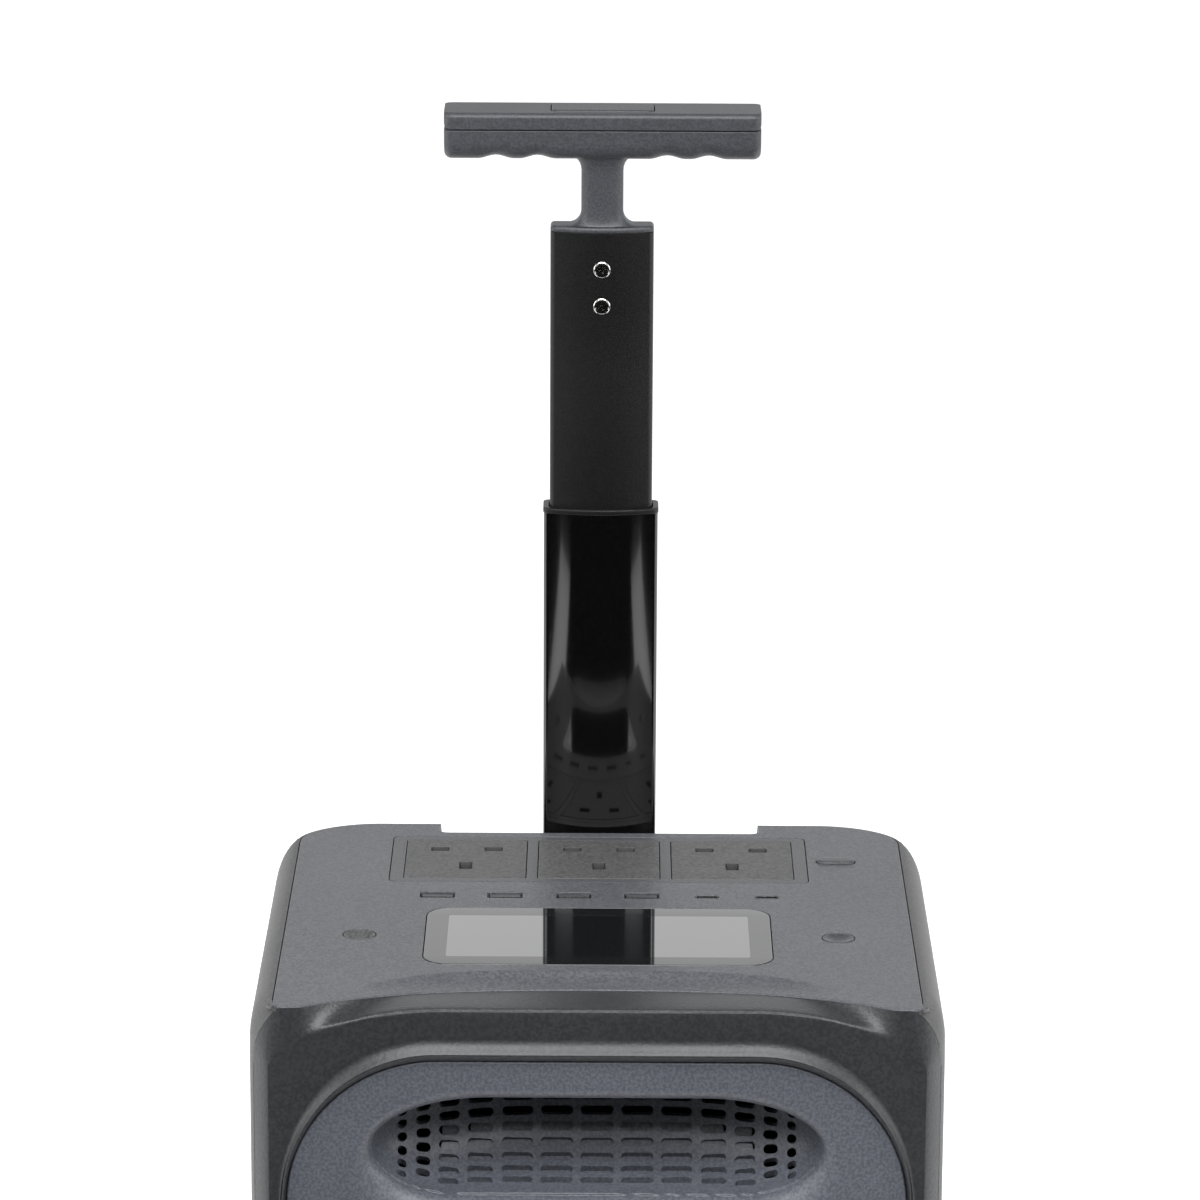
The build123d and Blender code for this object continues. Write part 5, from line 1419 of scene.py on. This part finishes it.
def build_grip():
    parting = GRIP_HIGH.z
    body = loft("handle_grip", [grip_section(x, grip_floor(x), parting, 6.0, 0.35, trim) for x, trim in grip_stations()])
    tidy_normals(body, 40)
    low, high = box_mm("release_button")
    half_w, half_d = (high.x - low.x) / 2, (high.y - low.y) / 2
    well = rounded_rect(half_w + 0.35, half_d + 0.35, 3.3, 6, (0, GRIP_Y))
    cut(body, prism("well", well, high.z - 12, high.z + 3))
    tidy_normals(body, 38)
    weighted(body)
    finish_piece(body, "handle_inner", GRIP, "case_plastic", "grip_body")
    cap_low = box_mm("grip_cap")[0].z
    cap = loft("handle_grip_cap", [grip_section(x, cap_low - 0.0, CAP_HIGH.z, 0.35, 2.2, trim * 0.96)
                                   for x, trim in grip_stations()])
    tidy_normals(cap, 40)
    cut(cap, prism("well", well, cap_low - 3, CAP_HIGH.z + 3))
    tidy_normals(cap, 38)
    bevel(cap, 0.3, 2, 60)
    weighted(cap)
    finish_piece(cap, "handle_inner", GRIP, "case_plastic", "grip_cap")
    loops = []
    top = high.z + 0.9
    for inset, z in ((0, low.z), (0, top - 0.9), (0.25, top - 0.4), (0.7, top - 0.08), (1.2, top)):
        loops.append([(px, py, z) for px, py in rounded_rect(half_w - inset, half_d - inset, 3.0, 6, (0, GRIP_Y))])
    button = loft("handle_release_button", loops)
    tidy_normals(button, 42)
    weighted(button)
    finish_piece(button, "release_button", GRIP, "case_plastic", "release_button")
    build_stem()


STEM_W = 17.3
STEM_D = 14.0
PLUG_RIM = 2.4


def build_stem():
    """Neck between the tube and the grip, flared at both ends, on a plug with a rim."""
    tube_top = box_mm("inner_tube")[1].z
    plug_low = box_mm("grip_stem")[0].z
    grip_low = GRIP_LOW.z
    loops = []
    plug = tube_outline(INNER_SIZE[0] - 2 * TUBE_WALL - 0.3, INNER_SIZE[1] - 2 * TUBE_WALL - 0.3, INNER_SIZE[2], corner=1.2)
    rim = tube_outline(*INNER_SIZE, corner=2.0)
    for outline, inset, z in ((plug, 0, plug_low), (plug, 0, tube_top + 0.05), (rim, 0.15, tube_top + 0.05),
                              (rim, 0.0, tube_top + 0.3), (rim, 0.0, tube_top + PLUG_RIM - 1.4)):
        points = offset_outline(outline, -inset) if inset else outline
        loops.append([(x, y, z) for x, y in points])
    for step in range(1, 5):
        a = math.radians(22.5 * step)
        points = offset_outline(rim, -1.4 * (1 - math.cos(a)))
        loops.append([(x, y, tube_top + PLUG_RIM - 1.4 + 1.4 * math.sin(a)) for x, y in points])
    shoulder = tube_top + PLUG_RIM
    count = len(rim)
    neck = []
    for x, y in rim:
        a = math.atan2((y - HANDLE_Y + 1) * STEM_W / STEM_D, x)
        power = 0.55
        cx, cy = math.cos(a), math.sin(a)
        scale = (abs(cx) ** (2 / power) + abs(cy) ** (2 / power)) ** (-power / 2)
        neck.append((STEM_W / 2 * cx * scale, HANDLE_Y - 1 + STEM_D / 2 * cy * scale))
    flare = 6.0
    for step in range(1, 9):
        a = math.radians(90 * step / 8)
        spread = 1 - math.sin(a)
        ring = []
        for (nx, ny), (rx, ry) in zip(neck, rim):
            reach = min(1.0, flare / max(0.01, math.hypot(rx - nx, ry - ny)))
            ring.append((nx + (rx - nx) * reach * spread, ny + (ry - ny) * reach * spread,
                         shoulder + flare * (1 - math.cos(a))))
        loops.append(ring)
    top_flare = 5.5
    for step in range(0, 7):
        a = math.radians(90 * step / 6)
        out = top_flare * (1 - math.cos(a))
        z = grip_low - top_flare + top_flare * math.sin(a) + 1.2 * (step / 6)
        loops.append([(nx * (1 + out / (STEM_W / 2)), HANDLE_Y - 1 + (ny - HANDLE_Y + 1) * (1 + out * 0.5 / (STEM_D / 2)), z)
                      for nx, ny in neck])
    loops.append([(x, y, z + 1.0) for x, y, z in loops[-1]])
    stem = loft("handle_stem", loops)
    tidy_normals(stem, 40)
    finish_piece(stem, "handle_inner", GRIP, "case_plastic", "grip_stem")


def build_guide():
    """Sleeve in the case that the outer tube slides in."""
    low, high = box_mm("handle_guide")
    outer = tube_outline(52.8, 19.0, 4.0, HANDLE_Y + 0.0, 2.0)
    inner = tube_outline(48.3, 15.3, 4.0, HANDLE_Y, 2.0)
    guide = tube_ring("handle_sleeve", outer, inner, high.z, low.z, 0.3)
    tidy_normals(guide, 40)
    finish_piece(guide, "case", DARK_AND_HOLE_SHADE, "socket_plastic", "handle_guide")


# ---------------------------------------------------------------- wheels, feet, inlets and screws
TREAD_BLOCKS = 36


def build_wheels():
    for side, name in ((-1, "left"), (1, "right")):
        low, high = box_mm(f"tyre_{name}")
        centre_x = (low.x + high.x) / 2
        half_w = (high.x - low.x) / 2
        profile = []
        shape = [(30.0, -half_w + 2.5), (31.5, -half_w + 1.0), (34.0, -half_w + 0.3), (39.0, -half_w), (43.0, -half_w + 0.9),
                 (45.6, -half_w + 2.6), (47.2, -half_w + 5.0), (47.5, -half_w + 5.8), (46.2, -half_w + 6.2),
                 (46.2, -half_w + 7.4), (47.6, -half_w + 7.8), (47.9, -3.0), (47.9, -1.0), (46.6, -0.7)]
        shape += [(r, -h) for r, h in reversed(shape)]
        profile = [(r, h) for r, h in shape]
        tyre = turned("tyre", profile, (centre_x, AXLE_Y, AXLE_Z), "x", 144)
        tidy_normals(tyre, 38)
        weighted(tyre)
        tyre.name = f"wheel_tyre_{name}"
        finish_piece(tyre, f"wheel_{name}", RUBBER, "tyre_rubber", f"tyre_{name}")
        outer = side * (half_w - 1.0)
        hub_profile = [(5.3, -half_w + 2.0), (10.0, -half_w + 2.0), (12.0, -half_w + 5.0), (24.0, -half_w + 5.0),
                       (26.5, -half_w + 2.0), (29.9, -half_w + 2.2), (29.9, half_w - 2.2), (28.8, half_w - 1.1),
                       (27.2, half_w - 1.0), (25.8, half_w - 2.4), (24.2, half_w - 5.6), (13.5, half_w - 4.4),
                       (11.6, half_w - 2.4), (10.6, half_w - 1.2), (9.4, half_w - 0.9), (5.3, half_w - 0.9)]
        hub_profile = [(r, side * h) for r, h in hub_profile]
        loops = hub_profile + hub_profile[:1]
        hub = turned("hub", loops, (centre_x, AXLE_Y, AXLE_Z), "x", 120)
        tidy_normals(hub, 30)
        holes = []
        for k in range(5):
            a0 = math.radians(90 + 72 * k)
            outline = []
            spread_out, spread_in = math.radians(25), math.radians(19)
            for step in range(9):
                a = a0 - spread_out + 2 * spread_out * step / 8
                outline.append((AXLE_Y + 23.0 * math.cos(a), AXLE_Z + 23.0 * math.sin(a)))
            for step in range(7):
                a = a0 + spread_in - 2 * spread_in * step / 6
                outline.append((AXLE_Y + 14.6 * math.cos(a), AXLE_Z + 14.6 * math.sin(a)))
            x0, x1 = sorted((centre_x + side * 2.0, centre_x + side * (half_w + 1)))
            holes.append(prism("opening", outline, x0, x1, "x"))
        cut(hub, join("openings", holes))
        tidy_normals(hub, 30)
        bevel(hub, 0.6, 2, 45)
        weighted(hub)
        hub.name = f"wheel_hub_cover_{name}"
        finish_piece(hub, f"wheel_{name}", HUB, "hub_plastic", f"wheel_hub_{name}")
        cap_x = centre_x + side * (half_w - 2.6)
        cap = turned("cap", [(5.25, 0), (5.25, side * 1.6), (4.9, side * 2.2), (4.0, side * 2.5), (0, side * 2.6)],
                     (cap_x, AXLE_Y, AXLE_Z), "x", 48)
        tidy_normals(cap, 40)
        cap.name = f"wheel_cap_{name}"
        finish_piece(cap, f"wheel_{name}", HUB, "hub_plastic")


def build_feet():
    low, high = box_mm("front_feet")
    centre_y = (low.y + high.y) / 2
    feet = []
    for side in (-1, 1):
        x = side * (high.x - 14)
        profile = [(13.2, 0.0), (13.8, 0.5), (14.0, 1.4), (13.4, 9.0), (12.6, 16.8), (12.0, 17.9), (3.0, 17.9), (3.0, 20.8)]
        feet.append(turned("foot", [(11.5, 0.8), (11.9, 0.0)] + profile, (x, centre_y, 0), "z", 64))
    obj = join("rubber_feet", feet)
    tidy_normals(obj, 40)
    finish_piece(obj, "case", RUBBER, "tyre_rubber", "front_feet")


def build_inlets():
    for node, name in (("ac_inlet", "mains_inlet"), ("solar_inlet", "solar_port")):
        low, high = box_mm(node)
        centre = ((low.x + high.x) / 2, (low.z + high.z) / 2)
        half_w, half_h = (high.x - low.x) / 2, (high.z - low.z) / 2
        outline = rounded_rect(half_w, half_h, 2.0, 4, centre)
        opening = [(cx, cz) for cx, cz in rounded_rect(half_w - 6.0, half_h - 5.0, 1.6, 4, centre)]
        if node == "ac_inlet":
            opening = [(cx, cz) for cx, cz in c14_outline(centre)]
        flange = flat_bezel("flange", outline, opening, REAR_Y + 0.0, 3.2, high.y - low.y - 4)
        pins = []
        if node == "ac_inlet":
            for dx, dz in ((-7.0, -1.8), (7.0, -1.8), (0.0, 2.4)):
                pins.append(prism("pin", rounded_rect(1.0, 2.0, 0.4, 3, (centre[0] + dx, centre[1] + dz)),
                                  REAR_Y - 18, REAR_Y - 4, "y"))
        else:
            for dx in (-5.0, 5.0):
                pins.append(prism("pin", circle(1.6, (centre[0] + dx, centre[1]), 24), REAR_Y - 16, REAR_Y - 3, "y"))
        finish_piece(flange, "case", SOCKET, "socket_plastic", node)
        flange.name = name
        contacts = join(f"{name}_pins", pins)
        tidy_normals(contacts, 40)
        finish_piece(contacts, "case", STEEL, "steel")


def c14_outline(centre):
    """Six-sided mouth of a mains inlet."""
    cx, cz = centre
    points = [(-12, -8), (12, -8), (12, 3.5), (7.5, 8), (-7.5, 8), (-12, 3.5)]
    return [(cx + x, cz + z) for x, z in points]


def flat_bezel(name, outline, opening, face_y, thickness, depth):
    """Flange on the rear wall with a deep closed mouth. Outlines are in X and Z."""
    mesh = bmesh.new()

    def loop_at(points, y):
        return [mesh.verts.new(Vector((x, y, z)) * MM) for x, z in points]

    rim = loop_at(offset_outline(outline, -0.4), face_y)
    side = loop_at(outline, face_y - 0.4)
    back = loop_at(outline, face_y - thickness)
    mouth = loop_at(offset_outline(opening, 0.4), face_y)
    throat = loop_at(opening, face_y - 0.5)
    floor = loop_at(opening, face_y - depth)
    for a, b in ((rim, side), (side, back), (mouth, throat), (throat, floor)):
        for i in range(len(a)):
            j = (i + 1) % len(a)
            mesh.faces.new((a[i], a[j], b[j], b[i]))
    mesh.faces.new(floor)
    fill_between(mesh, [rim, mouth])
    data = bpy.data.meshes.new(name)
    mesh.to_mesh(data)
    mesh.free()
    obj = bpy.data.objects.new(name, data)
    bpy.context.collection.objects.link(obj)
    tidy_normals(obj, 40)
    orient(obj, (0, 1, 0))
    return obj


def build_case_screws():
    low, high = box_mm("case_screws")
    heads = []
    for x in (-112.0, 112.0):
        for z in (150.0, 370.0):
            head = turned("head", [(3.5, 0.0), (3.4, 0.5), (2.9, 0.95), (1.6, 1.18), (0, 1.2)], (x, REAR_Y, z), "y", 40)
            tidy_normals(head, 50)
            for turn in (15, 105):
                a = math.radians(turn)
                outline = [(x + u * math.cos(a) - v * math.sin(a), z + u * math.sin(a) + v * math.cos(a))
                           for u, v in rounded_rect(1.8, 0.38, 0.3, 3)]
                cut(head, prism("cross", outline, REAR_Y + 0.3, REAR_Y + 3, "y"))
            heads.append(head)
    obj = join("case_screw_heads", heads)
    tidy_normals(obj, 35)
    finish_piece(obj, "case", STEEL, "steel", "case_screws")


# ---------------------------------------------------------------- finishes of the CAD nodes that stay in view
def paint_nodes():
    """Procedural finishes for every carried-over CAD node."""
    finishes = {
        "case_plastic": CASE,
        "panel_plastic": PANEL,
        "socket_plastic": SOCKET,
        "display_gloss": GLASS,
        "tube_gloss": TUBE_GLOSS,
        "tube_satin": TUBE_SATIN,
        "bright_metal": CHROME,
        "steel": STEEL,
        "aluminium": ALUMINIUM,
        "cell_wrap": CELL,
        "board": BOARD,
        "tyre_rubber": RUBBER,
        "hub_plastic": HUB,
    }
    slot_of = {part["node"]: part["material_slot"] for part in frame["record"]["subparts"]}
    for name, obj in frame["nodes"].items():
        finish = finishes[slot_of[name]]
        obj.data.materials.clear()
        obj.data.materials.append(finish)


# ---------------------------------------------------------------- floor, lights and camera
def build_stage():
    mesh = bpy.data.meshes.new("floor")
    size = 26.0
    mesh.from_pydata([(-size, -size, 0), (size, -size, 0), (size, size, 0), (-size, size, 0)], [], [(0, 1, 2, 3)])
    floor = bpy.data.objects.new("floor", mesh)
    bpy.context.collection.objects.link(floor)
    paint = bpy.data.materials.new("floor_paint")
    paint.use_nodes = True
    shader = paint.node_tree.nodes["Principled BSDF"]
    shader.inputs["Base Color"].default_value = (0.97, 0.97, 0.97, 1)
    shader.inputs["Roughness"].default_value = 0.9
    shader.inputs["Specular IOR Level"].default_value = 0.1
    shader.inputs["Emission Color"].default_value = (1, 1, 1, 1)
    shader.inputs["Emission Strength"].default_value = 0.34
    floor.data.materials.append(paint)
    world = bpy.data.worlds.new("studio")
    bpy.context.scene.world = world
    world.use_nodes = True
    nodes, links = world.node_tree.nodes, world.node_tree.links
    background = nodes["Background"]
    place = nodes.new("ShaderNodeTexCoord")
    split = nodes.new("ShaderNodeSeparateXYZ")
    links.new(place.outputs["Generated"], split.inputs["Vector"])
    sky = nodes.new("ShaderNodeValToRGB")
    stops = ((0.0, 1.1), (0.30, 1.05), (0.52, 0.30), (0.85, 0.25))
    while len(sky.color_ramp.elements) < len(stops):
        sky.color_ramp.elements.new(0.5)
    for element, (height, level) in zip(sky.color_ramp.elements, stops):
        element.position = height
        element.color = (level, level, level, 1)
    links.new(split.outputs["Z"], sky.inputs["Fac"])
    path = nodes.new("ShaderNodeLightPath")
    choose = nodes.new("ShaderNodeMix")
    choose.data_type = "RGBA"
    front = nodes.new("ShaderNodeMapRange")
    front.inputs["From Min"].default_value = -0.9
    front.inputs["From Max"].default_value = 0.1
    front.inputs["To Min"].default_value = 0.1
    front.inputs["To Max"].default_value = 0.9
    links.new(split.outputs["Y"], front.inputs["Value"])
    links.new(front.outputs["Result"], choose.inputs["A"])
    links.new(path.outputs["Is Glossy Ray"], choose.inputs["Factor"])
    links.new(sky.outputs["Color"], choose.inputs["B"])
    links.new(choose.outputs["Result"], background.inputs["Color"])
    black = bpy.data.materials.new("flag_black")
    black.use_nodes = True
    black.node_tree.nodes["Principled BSDF"].inputs["Base Color"].default_value = (0.004, 0.004, 0.004, 1)
    black.node_tree.nodes["Principled BSDF"].inputs["Roughness"].default_value = 1.0
    black.node_tree.nodes["Principled BSDF"].inputs["Specular IOR Level"].default_value = 0.0
    low = 0.015
    cards = {
        "flag_far": ((-3.0, -4.5), (3.0, -1.75)),
        "flag_middle": ((-0.7, -1.75), (0.7, -0.42)),
        "flag_left": ((-3.0, -1.75), (-0.95, -0.3)),
        "flag_right": ((0.95, -1.75), (3.0, -0.3)),
    }
    corners = {name: [(x0, y0, low), (x1, y0, low), (x1, y1, low), (x0, y1, low)]
               for name, ((x0, y0), (x1, y1)) in cards.items()}
    corners["flag_front"] = [(-3.0, -3.9, 0.0), (3.0, -3.9, 0.0), (3.0, -3.9, 2.7), (-3.0, -3.9, 2.7)]
    for name, points in corners.items():
        card = bpy.data.meshes.new(name)
        card.from_pydata(points, [], [(0, 1, 2, 3)])
        flag = bpy.data.objects.new(name, card)
        bpy.context.collection.objects.link(flag)
        card.materials.append(black)
        flag.visible_camera = False
        flag.visible_shadow = False


def add_light(name, place, target, size, energy):
    """Soft rectangular lamp aimed at a point; lengths in metres."""
    data = bpy.data.lights.new(name, "AREA")
    data.shape = "RECTANGLE"
    data.size, data.size_y = size
    data.energy = energy
    lamp = bpy.data.objects.new(name, data)
    bpy.context.collection.objects.link(lamp)
    lamp.location = place
    lamp.rotation_euler = (Vector(target) - Vector(place)).to_track_quat("-Z", "Y").to_euler()
    return lamp


def build_lights():
    add_light("key_softbox", (0.0, -1.7, 2.25), (0, -0.1, 0.42), (2.4, 1.4), 92)
    add_light("left_strip", (-2.0, -0.7, 1.2), (0, 0, 0.4), (0.5, 1.8), 15)
    add_light("right_strip", (2.0, -0.7, 1.2), (0, 0, 0.4), (0.5, 1.8), 15)
    for name, side in (("left_window", -1), ("right_window", 1)):
        window = add_light(name, (side * 1.65, -3.85, 1.55), (side * 0.1, 0, 0.5), (1.1, 0.7), 8)
        window.visible_diffuse = False


def build_camera():
    data = bpy.data.cameras.new("camera")
    data.lens = 170.4
    data.sensor_width = 36
    camera = bpy.data.objects.new("camera", data)
    bpy.context.collection.objects.link(camera)
    pitch, yaw, roll = (math.radians(a) for a in (15.497, 0.082, 0.280))
    right = Vector((1, 0, 0))
    forward = Vector((0, math.cos(pitch), -math.sin(pitch)))
    up = Vector((0, math.sin(pitch), math.cos(pitch)))
    turn = Matrix.Rotation(yaw, 3, "Z")
    right, forward, up = turn @ right, turn @ forward, turn @ up
    across = math.cos(roll) * right + math.sin(roll) * up
    upright = -math.sin(roll) * right + math.cos(roll) * up
    axes = Matrix((across, upright, -forward)).transposed().to_4x4()
    camera.matrix_world = Matrix.Translation(Vector((3.12, -2184.9, 1172.6)) * MM) @ axes
    bpy.context.scene.camera = camera
    bpy.context.scene.view_settings.view_transform = "Standard"


build_panel()
build_front_shell()
build_grille()
build_sides()
build_rear()
build_base()
build_wheel_wells()
build_wheels()
build_feet()
build_socket_frame()
build_sockets()
build_usb()
build_display()
build_buttons()
build_outer_tube()
build_inner_tube()
build_grip()
build_guide()
build_inlets()
build_case_screws()
paint_nodes()
build_stage()
build_lights()
build_camera()
